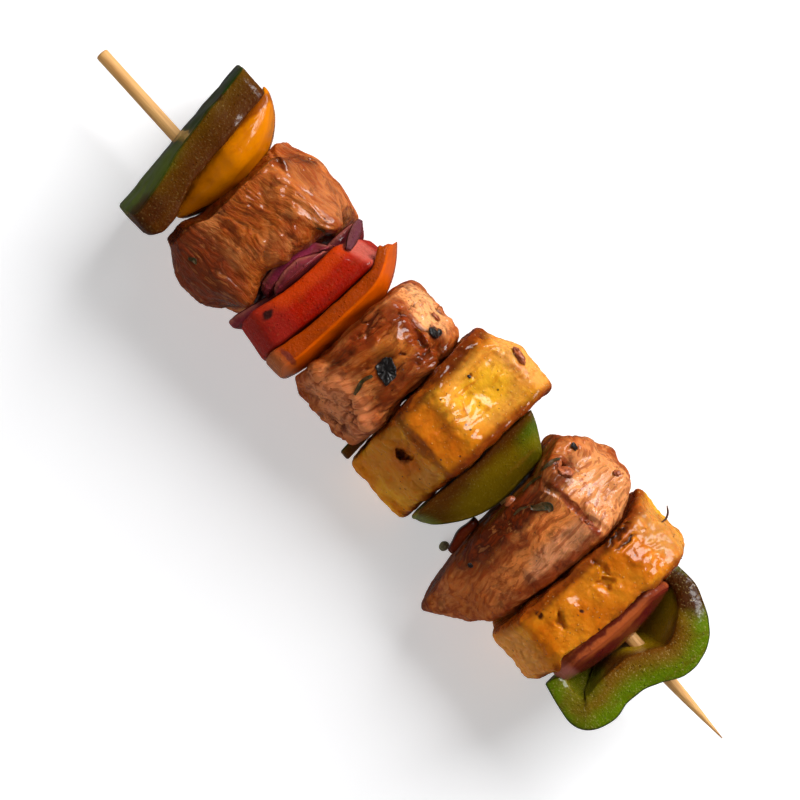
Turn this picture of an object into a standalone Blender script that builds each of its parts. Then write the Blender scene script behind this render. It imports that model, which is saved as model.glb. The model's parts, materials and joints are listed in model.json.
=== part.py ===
"""Grilled chicken kebab on a bamboo skewer, lying on its side.

Run with: blender --background --python part.py

The stick runs along X, blunt end at -X and point at +X. Chunks of chicken and pineapple and
cut pieces of bell pepper and red onion are threaded on it. All shapes are worked out in
millimetres from the stick's axis (y = z = 0) and written as metres. An empty lifts them so
that the largest chunks rest on the table, and centres the whole on the origin.

Every threaded piece is a solid between a left and a right face, whose x is a function of
(y, z). Neighbours share the shape of the face where they are pressed together.
"""

import math

import bmesh
import bpy
from mathutils import Vector, noise

MM = 0.001

# The bamboo stick
STICK_LENGTH = 200.0
STICK_RADIUS = 1.5
POINT_LENGTH = 24.0
POINT_RADIUS = 0.12
STICK_SIDES = 14
STICK_HEIGHT = 18.5  # its axis above the table

# How the pieces sit on it
HOLE_CLEARANCE = 0.3
HOLE_SIDES = 10
GAP = 0.5  # between pieces that are pressed together

COLOURS = {  # base colour, roughness
    "bamboo": ((0.72, 0.45, 0.22), 0.6),
    "chicken": ((0.45, 0.17, 0.06), 0.45),
    "green_pepper": ((0.12, 0.16, 0.02), 0.3),
    "yellow_pepper": ((0.80, 0.38, 0.01), 0.25),
    "red_pepper": ((0.60, 0.03, 0.01), 0.3),
    "orange_pepper": ((0.65, 0.17, 0.01), 0.3),
    "onion": ((0.30, 0.06, 0.06), 0.35),
    "pineapple": ((0.75, 0.33, 0.04), 0.3),
}


# ---------------------------------------------------------------- helpers


def clear_scene():
    for obj in list(bpy.data.objects):
        bpy.data.objects.remove(obj, do_unlink=True)


def ease(value, start, end):
    """0 before start, 1 after end, smooth between. Start may be above end."""
    t = min(1.0, max(0.0, (value - start) / (end - start)))
    return t * t * (3.0 - 2.0 * t)


def above(value, limit):
    return max(0.0, value - limit)


def material(name):
    found = bpy.data.materials.get(name)
    if found:
        return found
    colour, roughness = COLOURS[name]
    made = bpy.data.materials.new(name)
    made.use_nodes = True
    shader = made.node_tree.nodes["Principled BSDF"]
    shader.inputs["Base Color"].default_value = (*colour, 1.0)
    shader.inputs["Roughness"].default_value = roughness
    shader.inputs["Metallic"].default_value = 0.0
    return made


def add_object(name, mesh, finish):
    obj = bpy.data.objects.new(name, mesh)
    obj.data.materials.append(material(finish))
    obj.parent = KEBAB
    FOOD.objects.link(obj)
    mesh.shade_smooth()
    mesh.set_sharp_from_angle(angle=math.radians(50))
    return obj


def thread_on_stick(obj):
    """Cuts the stick's hole."""
    cut = obj.modifiers.new("stick_hole", "BOOLEAN")
    cut.operation = "DIFFERENCE"
    cut.object = bpy.data.objects["stick_hole_cutter"]


# ---------------------------------------------------------------- outlines


def rounded_outline(corners, radius, bulge=0.0, spacing=9.0):
    """Points round a polygon of (y, z) corners. Each corner is eased over its radius, and
    each side swells by bulge in its middle and has a point for every spacing of its length."""
    corners = [Vector(c) for c in corners]
    count = len(corners)
    arcs = []
    for i, corner in enumerate(corners):
        towards = [(corners[i - 1] - corner), (corners[(i + 1) % count] - corner)]
        start, end = (
            corner + t.normalized() * min(radius, 0.4 * t.length) for t in towards
        )
        arcs.append((start, (start + 2.0 * corner + end) / 4.0, end))
    points = []
    for i, (start, middle, end) in enumerate(arcs):
        points += [start, middle, end]
        following = arcs[(i + 1) % count][0]
        side = following - end
        side_points = int(side.length / spacing)
        outward = Vector((side.y, -side.x)).normalized()
        for k in range(1, side_points + 1):
            t = k / (side_points + 1.0)
            points.append(end + side * t + outward * bulge * 4.0 * t * (1.0 - t))
    return points


# ---------------------------------------------------------------- threaded solids


def face_rings(count, edge_steps):
    """(share of the radius, share of the edge's turn) from a face's middle to its rim."""
    rings = [((k + 1) / (count + 1.0), 0.0) for k in range(count)]
    return rings + [(1.0, k / float(edge_steps)) for k in range(edge_steps + 1)]


def solid_between(
    name,
    finish,
    outline,
    left,
    right,
    edge,
    right_outline=None,
    centre=(0.0, 0.0),
    rings=2,
    side_rings=0,
    edge_steps=1,
    lumps=(0.0, 8.0, 0.0),
    threaded=True,
):
    """A closed solid whose ends are the faces x = left(y, z) and x = right(y, z), and whose
    section across the stick is the outline. A sphere's rings are laid over it: the poles are
    the middles of the faces. The rim between face and side is rounded by edge."""
    right_outline = right_outline or outline
    centre = Vector(centre)
    per_face = face_rings(rings, edge_steps)
    bands = 2 * len(per_face) + side_rings + 1
    segments = len(outline)

    def place(band, segment):
        """Where ring number band, counted from the left pole, meets the segment."""
        along = band - 1
        last = bands - 2
        from_left = along <= last - along
        step = min(along, last - along)
        if band in (0, bands):
            face = left if band == 0 else right
            return Vector((face(*centre), *centre)), 0.0
        if step < len(per_face):
            share, turn = per_face[step]
            mixed = 0.0 if from_left else 1.0
            depth_share = None
        else:
            share, turn = 1.0, 1.0
            mixed = depth_share = (along - len(per_face) + 1) / (side_rings + 1.0)
        rim = outline[segment].lerp(right_outline[segment], mixed)
        spoke = rim - centre
        round_by = min(edge, 0.45 * max(0.2, right(*rim) - left(*rim)))
        angle = turn * math.pi / 2.0
        inset = round_by * (1.0 - math.sin(angle)) / spoke.length
        point = centre + spoke * share * (1.0 - inset)
        if depth_share is None:
            depth = round_by * (1.0 - math.cos(angle))
            x = left(*point) + depth if from_left else right(*point) - depth
            return Vector((x, *point)), turn
        low, high = left(*rim) + round_by, right(*rim) - round_by
        return Vector((low + (high - low) * depth_share, *point)), 1.0

    bm = bmesh.new()
    bmesh.ops.create_uvsphere(bm, u_segments=segments, v_segments=bands, radius=1.0)
    weights = {}
    for vert in bm.verts:
        from_right = math.acos(max(-1.0, min(1.0, vert.co.z))) / math.pi * bands
        band = bands - round(from_right)
        turn = math.atan2(vert.co.y, vert.co.x) / (2.0 * math.pi)
        vert.co, weights[vert.index] = place(band, round(turn * segments) % segments)
    bm.normal_update()
    amount, size, seed = lumps
    moves = [
        vert.normal
        * amount
        * (0.2 + 0.8 * weights[vert.index])
        * noise.fractal(vert.co / size + Vector((seed, 0.0, 0.0)), 1.0, 2.0, 2)
        for vert in bm.verts
    ]
    for vert, move in zip(bm.verts, moves):
        vert.co += move
        vert.co.z = max(vert.co.z, -STICK_HEIGHT)
        vert.co *= MM
    mesh = bpy.data.meshes.new(name)
    bm.to_mesh(mesh)
    bm.free()
    obj = add_object(name, mesh, finish)
    if threaded:
        thread_on_stick(obj)
    return obj


# ---------------------------------------------------------------- the stick


def turned(name, profile, sides):
    """A round solid from a profile of (radius, height), top to bottom."""
    mesh = bpy.data.meshes.new(name)
    points = [(radius * MM, 0.0, height * MM) for radius, height in profile]
    mesh.from_pydata(points, [(i, i + 1) for i in range(len(points) - 1)], [])
    obj = bpy.data.objects.new(name, mesh)
    screw = obj.modifiers.new("turn", "SCREW")
    screw.steps = screw.render_steps = sides
    screw.use_merge_vertices = True
    screw.merge_threshold = 0.00002
    obj.rotation_euler = (0.0, math.pi / 2.0, 0.0)
    return obj


def make_stick():
    half = STICK_LENGTH / 2.0
    chamfer = 0.25
    shoulder = half - POINT_LENGTH
    taper = [
        (
            POINT_RADIUS + (STICK_RADIUS - POINT_RADIUS) * math.sin(t * math.pi / 2.0),
            half - POINT_LENGTH * t,
        )
        for t in (0.0, 0.2, 0.45, 0.7)
    ]
    profile = [(0.0, half), *taper, (STICK_RADIUS, shoulder), (STICK_RADIUS, 0.0)]
    profile += [(STICK_RADIUS, chamfer - half), (STICK_RADIUS - chamfer, -half)]
    profile += [(0.0, -half)]
    obj = turned("skewer", profile, STICK_SIDES)
    obj.data.materials.append(material("bamboo"))
    obj.parent = KEBAB
    FOOD.objects.link(obj)


def make_hole_cutter():
    reach = STICK_LENGTH / 2.0
    radius = STICK_RADIUS + HOLE_CLEARANCE
    profile = [(0.0, reach), (radius, reach), (radius, -reach), (0.0, -reach)]
    obj = turned("stick_hole_cutter", profile, HOLE_SIDES)
    mesh = bpy.data.meshes.new_from_object(
        obj.evaluated_get(graph_with(obj)), preserve_all_data_layers=False
    )
    obj.modifiers.clear()
    obj.data = mesh
    obj.parent = KEBAB
    obj.hide_render = True
    obj.display_type = "WIRE"


def graph_with(obj):
    CUTTERS.objects.link(obj)
    bpy.context.view_layer.update()
    return bpy.context.evaluated_depsgraph_get()


# ---------------------------------------------------------------- blunt end: green, yellow


def green_a_inside(y, z):
    return -68.6 - 0.19 * y + 0.10 * z


def make_green_pepper_a():
    """A flat square of pepper, skin towards the blunt end, leaning back."""

    def skin(y, z):
        return -75.2 - 0.12 * y + 0.15 * z

    corners = [(19.0, -14.0), (20.3, 12.5), (-18.2, 14.0), (-19.2, -12.0)]
    solid_between(
        "green_pepper_a",
        "green_pepper",
        rounded_outline(corners, 2.5, bulge=0.6),
        skin,
        green_a_inside,
        edge=0.7,
        lumps=(0.5, 9.0, 1.0),
    )


def yellow_skin(y, z):
    return -60.9 - 0.0175 * (y - 2.0) ** 2 - 0.20 * z - 0.03 * z * z


def make_yellow_pepper():
    """A cupped piece whose glossy skin faces the first chicken and upwards."""
    wall = 5.0

    def inside(y, z):
        return max(yellow_skin(y, z) - wall, green_a_inside(y, z) + GAP)

    corners = [(18.0, -9.0), (21.5, 8.5), (6.0, 12.0), (-10.8, 1.5), (-8.5, -9.5)]
    solid_between(
        "yellow_pepper",
        "yellow_pepper",
        rounded_outline(corners, 2.5, bulge=0.5),
        inside,
        yellow_skin,
        edge=0.7,
        lumps=(0.25, 9.0, 2.0),
    )


# ---------------------------------------------------------------- first chicken and onion


def make_chicken_a():
    """The widest chunk, rolled so that one long edge points up at the back."""

    def left(y, z):
        return -60.2 - 0.009 * y * y - 0.08 * z

    def right(y, z):
        overhang = ONION_PETAL * ease(z, 12.5, 16.0) * ease(abs(y), 9.0, 10.5)
        return red_left(y, z) - onion_pile(y) - GAP + overhang

    corners = [(18.0, -13.0), (19.0, 4.0), (11.5, 17.6), (-17.0, 12.5), (-20.3, 0.0)]
    corners += [(-13.5, -20.5), (6.0, -20.0)]
    solid_between(
        "chicken_a",
        "chicken",
        rounded_outline(corners, 3.5, bulge=0.6),
        left,
        right,
        edge=2.6,
        side_rings=3,
        edge_steps=2,
        lumps=(1.5, 8.0, 3.0),
    )


ONION_PETAL = 2.8  # thickness of the petal against the red pepper
NEST_HALF = 9.2  # half the width of the widest petal nested on it


def red_left(y, z):
    curl = 0.015 * y * y if y < 0.0 else 0.008 * y * y
    return -31.9 - curl - 0.20 * z


def nested(y, half_width):
    """1 at the middle of a nested petal, 0 at its ends."""
    return max(0.0, 1.0 - (y / half_width) ** 2)


def onion_pile(y):
    """Thickness of the onion between the first chicken and the red pepper."""
    nest = 1.8 + 2.9 * nested(y, NEST_HALF)
    return ONION_PETAL + GAP + nest * ease(abs(y), 11.5, 9.0)


def make_onion_a():
    """Three petals squeezed between chicken and red pepper, the inner two nested."""

    def petal(name, near, far, corners, seed, edge):
        solid_between(
            name,
            "onion",
            rounded_outline(corners, 2.0, bulge=0.5),
            lambda y, z: red_left(y, z) - far(y),
            lambda y, z: red_left(y, z) - near(y),
            edge=edge,
            lumps=(0.1, 6.0, seed),
        )

    def near_nest(y):
        return ONION_PETAL + GAP

    corners = [(14.0, -9.0), (17.8, 4.0), (11.5, 7.5), (-14.0, 6.0), (-19.2, 2.0)]
    corners += [(-15.0, -8.0)]
    petal("onion_a_outer", lambda y: GAP, lambda y: ONION_PETAL, corners, 4.0, 0.8)
    corners = [(4.5, -6.0), (5.5, 6.5), (3.0, 11.8), (-3.5, 11.5), (-5.5, -6.0)]
    petal(
        "onion_a_middle",
        near_nest,
        lambda y: near_nest(y) + 0.5 + 1.4 * nested(y, 6.0),
        corners,
        5.0,
        0.4,
    )
    corners = [(7.0, -8.0), (9.0, 9.0), (4.0, 14.0), (-6.0, 12.5), (-9.0, -7.0)]
    petal(
        "onion_a_inner",
        lambda y: near_nest(y) + 0.6 + 1.6 * nested(y, NEST_HALF),
        lambda y: near_nest(y) + 1.6 + 2.9 * nested(y, NEST_HALF),
        corners,
        6.0,
        0.5,
    )


# ---------------------------------------------------------------- red and orange pepper


def red_right(y, z):
    curl = 0.009 * y * y if y < 0.0 else 0.0
    return -25.4 - curl - 0.08 * z


def make_red_pepper():
    """A thick strip with its cut edge up and its far end sloping down."""
    corners = [(16.5, -10.0), (15.2, 1.0), (10.5, 12.5), (-15.0, 12.0), (-18.6, 4.0)]
    corners += [(-17.5, -11.0)]
    solid_between(
        "red_pepper",
        "red_pepper",
        rounded_outline(corners, 2.0, bulge=0.4),
        red_left,
        red_right,
        edge=1.0,
        lumps=(0.3, 8.0, 7.0),
    )


def orange_skin(y, z):
    ends = 0.045 * above(y, 7.0) ** 2 + 0.02 * above(-y, 9.0) ** 2
    return -20.0 - ends - 0.014 * z * z


def make_orange_pepper():
    """Pressed to the red strip. Its skin bows towards the second chicken."""

    def inside(y, z):
        overhang = 1.2 * ease(y, 16.0, 18.5) * ease(z, 8.0, 11.0)
        return red_right(y, z) + GAP - overhang

    corners = [(16.0, -12.0), (18.6, 4.0), (19.4, 12.0), (-16.5, 11.5), (-18.6, 2.0)]
    corners += [(-16.0, -12.0)]
    solid_between(
        "orange_pepper",
        "orange_pepper",
        rounded_outline(corners, 1.8, bulge=0.4),
        inside,
        orange_skin,
        edge=0.9,
        lumps=(0.3, 8.0, 8.0),
    )


# ---------------------------------------------------------------- middle: chicken, pineapple


def pineapple_a_left(y, z):
    return -0.2 - 0.08 * y


def tucked_pepper_space(y, z):
    """1 where the tucked pepper lies beside the pineapple, low at the front, else 0."""
    return ease(-y, 2.0, 7.0) * ease(-z, -6.0, 0.0)


def make_chicken_b():
    """The smallest chunk, with a step across its top."""

    def left(y, z):
        return -19.5 + 0.02 * z + 0.02 * above(y, 12.0) ** 2

    def right(y, z):
        room = 3.0 * tucked_pepper_space(y, z)
        return pineapple_a_left(y, z) - GAP - room

    corners = [(16.6, -11.0), (17.0, 6.0), (10.0, 16.4), (-12.5, 12.5), (-18.0, 2.0)]
    corners += [(-16.5, -10.0), (-8.0, -17.5), (9.0, -17.5)]
    solid_between(
        "chicken_b",
        "chicken",
        rounded_outline(corners, 3.0, bulge=0.5),
        left,
        right,
        edge=2.4,
        side_rings=3,
        edge_steps=2,
        lumps=(1.4, 7.0, 9.0),
    )


def make_green_pepper_b():
    """A thin slice of pepper tucked low between the second chicken and the pineapple."""
    corners = [(-7.5, -11.0), (-8.0, 0.5), (-19.5, 1.5), (-19.2, -10.0)]
    solid_between(
        "green_pepper_b",
        "green_pepper",
        rounded_outline(corners, 2.0, bulge=0.4),
        lambda y, z: pineapple_a_left(y, z) - GAP - 2.4,
        lambda y, z: pineapple_a_left(y, z) - GAP,
        edge=0.5,
        centre=(-13.5, -5.0),
        rings=1,
        lumps=(0.1, 8.0, 10.0),
        threaded=False,
    )


def pineapple_a_right(y, z):
    return 18.7 + 0.6 * math.exp(-((y / 5.0) ** 2)) - 0.01 * z


def make_pineapple_a():
    """A block with its wide cut face up at the back and a face sloping down in front."""
    corners = [(19.5, -20.0), (24.2, 11.5), (20.5, 16.0), (3.5, 18.0), (-6.0, 15.5)]
    corners += [(-20.3, -6.0), (-17.5, -20.0)]
    solid_between(
        "pineapple_a",
        "pineapple",
        rounded_outline(corners, 1.8, bulge=0.3),
        pineapple_a_left,
        pineapple_a_right,
        edge=1.5,
        side_rings=2,
        edge_steps=2,
        lumps=(0.8, 7.0, 11.0),
    )


# ---------------------------------------------------------------- green pepper, scrap, chicken


def green_c_skin(y, z):
    back = 4.5 * (above(y, 0.0) / 16.5) ** 3
    front = 8.0 * (above(-y, 0.0) / 17.0) ** 2.2
    return 29.8 - back - front - 0.012 * z * z


def make_green_pepper_c():
    """A bowed piece behind the pineapple, its cut edge slanting down towards the skin."""
    wall = 9.3
    slant = 5.0

    def inside(y, z):
        return max(green_c_skin(y, z) - wall, pineapple_a_right(y, z) + GAP)

    high = [(14.0, -9.0), (17.0, 12.0), (-16.0, 9.0), (-18.0, -7.0)]
    low = [(y, z - slant) for y, z in high]
    solid_between(
        "green_pepper_c",
        "green_pepper",
        rounded_outline(high, 2.2, bulge=0.5),
        inside,
        green_c_skin,
        edge=0.7,
        right_outline=rounded_outline(low, 2.2, bulge=0.5),
        lumps=(0.3, 9.0, 12.0),
    )


def chicken_c_left(y, z):
    over_pepper = 3.6 * ease(y, 9.0, 15.5)
    return 30.3 - over_pepper + 1.3 * above(y, 17.0) + 0.006 * above(-y, 0.0) ** 2


def make_red_pepper_scrap():
    """A small dark strip of red pepper caught beside the third chicken."""
    corners = [(-7.5, -3.0), (-8.0, 2.0), (-16.3, 1.0), (-16.5, -4.0)]

    def outside(y, z):
        return chicken_c_left(y, z) - GAP

    solid_between(
        "red_pepper_scrap",
        "red_pepper",
        rounded_outline(corners, 1.6, bulge=0.3),
        lambda y, z: outside(y, z) - 2.1 - 0.3 * math.sin(y * 0.9),
        outside,
        edge=0.8,
        centre=(-12.0, -1.0),
        rings=1,
        lumps=(0.2, 3.0, 13.0),
        threaded=False,
    )


def chicken_c_right(y, z):
    back = 0.06 * above(y, 12.0) ** 2
    front = 1.4 * above(-y, 21.5)
    return 49.2 + 0.04 * min(y, 0.0) - back - front


def make_chicken_c():
    """The longest chunk. Its front runs out to a point at the blunt end's side."""
    corners = [(20.0, -13.0), (25.0, 2.0), (20.0, 12.0), (9.5, 18.0), (-12.0, 10.0)]
    corners += [(-29.0, -3.0), (-30.0, -11.0), (-13.0, -20.5), (8.0, -20.5)]
    solid_between(
        "chicken_c",
        "chicken",
        rounded_outline(corners, 3.0, bulge=0.5),
        chicken_c_left,
        chicken_c_right,
        edge=2.4,
        side_rings=3,
        edge_steps=2,
        lumps=(1.4, 8.0, 14.0),
    )


# ---------------------------------------------------------------- point end


def make_pineapple_b():
    """A block with a pale upper end, cut slanting at the back."""

    def left(y, z):
        return 49.7 + 0.04 * min(y, 0.0) - 0.02 * above(y, 10.0) ** 2 * ease(z, 16.0, 8.0)

    corners = [(18.0, -20.0), (23.2, 2.0), (20.5, 12.5), (13.0, 16.5), (-15.0, 15.5)]
    corners += [(-22.8, 3.0), (-19.0, -20.0)]
    solid_between(
        "pineapple_b",
        "pineapple",
        rounded_outline(corners, 2.0, bulge=0.4),
        left,
        pineapple_b_right,
        edge=1.8,
        side_rings=2,
        edge_steps=2,
        lumps=(0.9, 7.0, 15.0),
    )


def pineapple_b_right(y, z):
    return 64.4 - 0.025 * above(y, 14.0) ** 2 - 0.02 * above(-y, 14.0) ** 2


def onion_b_skin(y, z):
    return 69.4 - 0.0085 * (y + 1.0) ** 2 - 0.02 * z * z


def make_onion_b():
    """One long petal, cut edge up, its dark skin towards the point."""
    thickness = 3.4
    corners = [(9.0, -9.0), (14.2, 5.0), (9.0, 10.5), (-12.0, 11.0), (-17.8, 5.0)]
    corners += [(-14.0, -8.5)]

    def inside(y, z):
        return max(onion_b_skin(y, z) - thickness, pineapple_b_right(y, z) + GAP)

    solid_between(
        "onion_b",
        "onion",
        rounded_outline(corners, 1.8, bulge=0.4),
        inside,
        onion_b_skin,
        edge=0.9,
        lumps=(0.2, 6.0, 16.0),
    )


def smooth_path(points, t):
    """The point at t, from 0 to 1, on a smooth curve through all the points."""
    last = len(points) - 1
    at = min(t * last, last - 1e-6)
    i = int(at)
    f = at - i
    p = [Vector(points[max(0, min(last, i + k))]) for k in (-1, 0, 1, 2)]
    return 0.5 * (
        2.0 * p[1]
        + (p[2] - p[0]) * f
        + (2.0 * p[0] - 5.0 * p[1] + 4.0 * p[2] - p[3]) * f * f
        + (3.0 * p[1] - p[0] - 3.0 * p[2] + p[3]) * f**3
    )


def make_green_pepper_d():
    """The end of a pepper, curled round into two lobes that open towards the onion."""
    # The wall's middle seen from above, from the back arm round to the front arm: (x, y)
    spine = [(67.0, 16.0), (71.5, 15.8), (76.5, 13.0), (80.2, 8.5), (81.0, 3.8)]
    spine += [(78.6, -0.8), (77.0, -5.0), (77.2, -10.0), (77.6, -14.5), (75.0, -18.4)]
    spine += [(70.5, -19.2), (67.0, -18.6)]
    gather = Vector((70.3, -1.0))  # the wall draws in towards here lower down
    top, bottom = 9.5, -13.0
    wall, arm_wall = 7.6, 4.2
    along, down = 26, 4

    bm = bmesh.new()
    bmesh.ops.create_grid(bm, x_segments=along, y_segments=down, size=1.0)
    shares = {}
    for vert in bm.verts:
        t, height = (vert.co.x + 1.0) / 2.0, (vert.co.y + 1.0) / 2.0
        arm = abs(2.0 * t - 1.0)
        plan = smooth_path(spine, t)
        drawn_in = 0.42 * (1.0 - height) ** 2.2
        plan = plan.lerp(gather, drawn_in)
        rim = top - 3.5 * ease(arm, 0.55, 1.0)
        shares[vert.index] = 1.0 - (1.0 - arm_wall / wall) * ease(arm, 0.45, 0.95)
        vert.co = Vector((*plan, bottom + (rim - bottom) * height)) * MM
    mesh = bpy.data.meshes.new("green_pepper_d")
    bm.to_mesh(mesh)
    bm.free()
    obj = add_object("green_pepper_d", mesh, "green_pepper")
    group = obj.vertex_groups.new(name="wall")
    for index, share in shares.items():
        group.add([index], share, "REPLACE")
    thicken = obj.modifiers.new("wall", "SOLIDIFY")
    thicken.thickness = wall * MM
    thicken.offset = 0.0
    thicken.vertex_group = group.name
    soften = obj.modifiers.new("soft_edges", "BEVEL")
    soften.width = 0.6 * MM
    soften.segments = 1
    soften.angle_limit = math.radians(50)
    thread_on_stick(obj)


# ---------------------------------------------------------------- assembly


def rest_on_table():
    """Lifts the kebab onto the table and centres its width on the origin."""
    KEBAB.location.z = STICK_HEIGHT * MM
    bpy.context.view_layer.update()
    graph = bpy.context.evaluated_depsgraph_get()
    sides = []
    for obj in FOOD.objects:
        if obj.type == "MESH":
            seen = obj.evaluated_get(graph)
            sides += [(seen.matrix_world @ Vector(c)).y for c in seen.bound_box]
    KEBAB.location.y = -(min(sides) + max(sides)) / 2.0


clear_scene()
FOOD = bpy.data.collections.new("chicken_kebab_skewer")
CUTTERS = bpy.data.collections.new("cutters")
for group in (FOOD, CUTTERS):
    bpy.context.scene.collection.children.link(group)
KEBAB = bpy.data.objects.new("kebab", None)
FOOD.objects.link(KEBAB)

make_hole_cutter()
make_stick()
make_green_pepper_a()
make_yellow_pepper()
make_chicken_a()
make_onion_a()
make_red_pepper()
make_orange_pepper()
make_chicken_b()
make_green_pepper_b()
make_pineapple_a()
make_green_pepper_c()
make_red_pepper_scrap()
make_chicken_c()
make_pineapple_b()
make_onion_b()
make_green_pepper_d()
rest_on_table()
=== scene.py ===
"""Grilled chicken kebab: the finished look of the skewer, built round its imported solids.

Lengths inside the script are millimetres from the stick's axis at the middle of its length:
x along the stick to its point, y across it, z up. to_metres() turns them into the frame's.
"""

import json
import math

import bmesh
import bpy
import numpy as np
from bpy.props import FloatProperty, FloatVectorProperty, IntProperty, PointerProperty
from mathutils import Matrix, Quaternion, Vector, noise
from mathutils.bvhtree import BVHTree

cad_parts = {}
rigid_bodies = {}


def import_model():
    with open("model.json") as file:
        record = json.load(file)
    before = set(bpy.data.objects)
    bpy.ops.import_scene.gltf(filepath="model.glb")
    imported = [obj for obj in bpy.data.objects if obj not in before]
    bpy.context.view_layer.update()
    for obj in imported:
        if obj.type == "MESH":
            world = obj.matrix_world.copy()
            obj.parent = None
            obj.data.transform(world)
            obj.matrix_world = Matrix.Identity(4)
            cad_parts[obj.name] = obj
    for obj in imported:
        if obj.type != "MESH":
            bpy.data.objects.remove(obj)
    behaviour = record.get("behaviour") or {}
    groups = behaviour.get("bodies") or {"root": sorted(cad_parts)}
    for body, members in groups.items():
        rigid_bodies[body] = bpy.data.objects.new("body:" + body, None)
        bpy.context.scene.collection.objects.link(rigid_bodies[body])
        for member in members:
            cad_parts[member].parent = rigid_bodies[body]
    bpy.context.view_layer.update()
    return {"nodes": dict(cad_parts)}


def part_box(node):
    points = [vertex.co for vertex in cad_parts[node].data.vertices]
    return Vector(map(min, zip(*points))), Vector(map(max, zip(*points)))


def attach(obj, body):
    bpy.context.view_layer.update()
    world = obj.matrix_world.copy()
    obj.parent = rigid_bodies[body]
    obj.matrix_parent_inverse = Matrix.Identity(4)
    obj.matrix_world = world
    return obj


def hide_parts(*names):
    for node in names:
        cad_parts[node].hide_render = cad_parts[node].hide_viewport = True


bl_info = {
    "name": "Chicken Kebab Skewer",
    "version": (1, 0, 0),
    "blender": (4, 5, 0),
    "location": "View3D > Sidebar > Kebab",
    "description": "Chicken, pineapple, bell pepper and red onion on a bamboo stick",
    "category": "Object",
}

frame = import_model()

MM = 0.001
BODY = "root"
STICK_LOW, STICK_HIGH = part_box("skewer")
AXIS_Y = (STICK_LOW.y + STICK_HIGH.y) / 2.0
AXIS_Z = (STICK_LOW.z + STICK_HIGH.z) / 2.0
TABLE = -AXIS_Z / MM  # the table's height, from the stick's axis
EYE = (-1.1, -2.5, 481.0)  # the camera


def to_metres(points):
    return np.asarray(points, float) * MM + (0.0, AXIS_Y, AXIS_Z)


def node_box(node):
    """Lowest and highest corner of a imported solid, in millimetres from the stick's axis."""
    low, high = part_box(node)
    shift = Vector((0.0, AXIS_Y, AXIS_Z))
    return (low - shift) / MM, (high - shift) / MM


# ---------------------------------------------------------------- numbers


def ease(value, start, end):
    """0 before start, 1 after end, smooth between. Start may be above end."""
    t = np.clip((value - start) / (end - start), 0.0, 1.0)
    return t * t * (3.0 - 2.0 * t)


def above(value, limit):
    return np.maximum(0.0, value - limit)


# ---------------------------------------------------------------- node trees


class Wire:
    """A node's output in an expression. It mixes with numbers, tuples and other wires."""

    def __init__(self, net, socket):
        self.net = net
        self.socket = socket

    @property
    def is_vector(self):
        return self.socket.type in ("VECTOR", "RGBA")

    def __add__(self, other):
        return self.net.maths("ADD", self, other)

    def __sub__(self, other):
        return self.net.maths("SUBTRACT", self, other)

    def __mul__(self, other):
        return self.net.maths("MULTIPLY", self, other)

    def __truediv__(self, other):
        return self.net.maths("DIVIDE", self, other)

    def __rtruediv__(self, other):
        return self.net.maths("DIVIDE", other, self)

    def __rsub__(self, other):
        return self.net.maths("SUBTRACT", other, self)

    def __neg__(self):
        return self.net.maths("MULTIPLY", self, -1.0)

    __radd__ = __add__
    __rmul__ = __mul__


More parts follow.
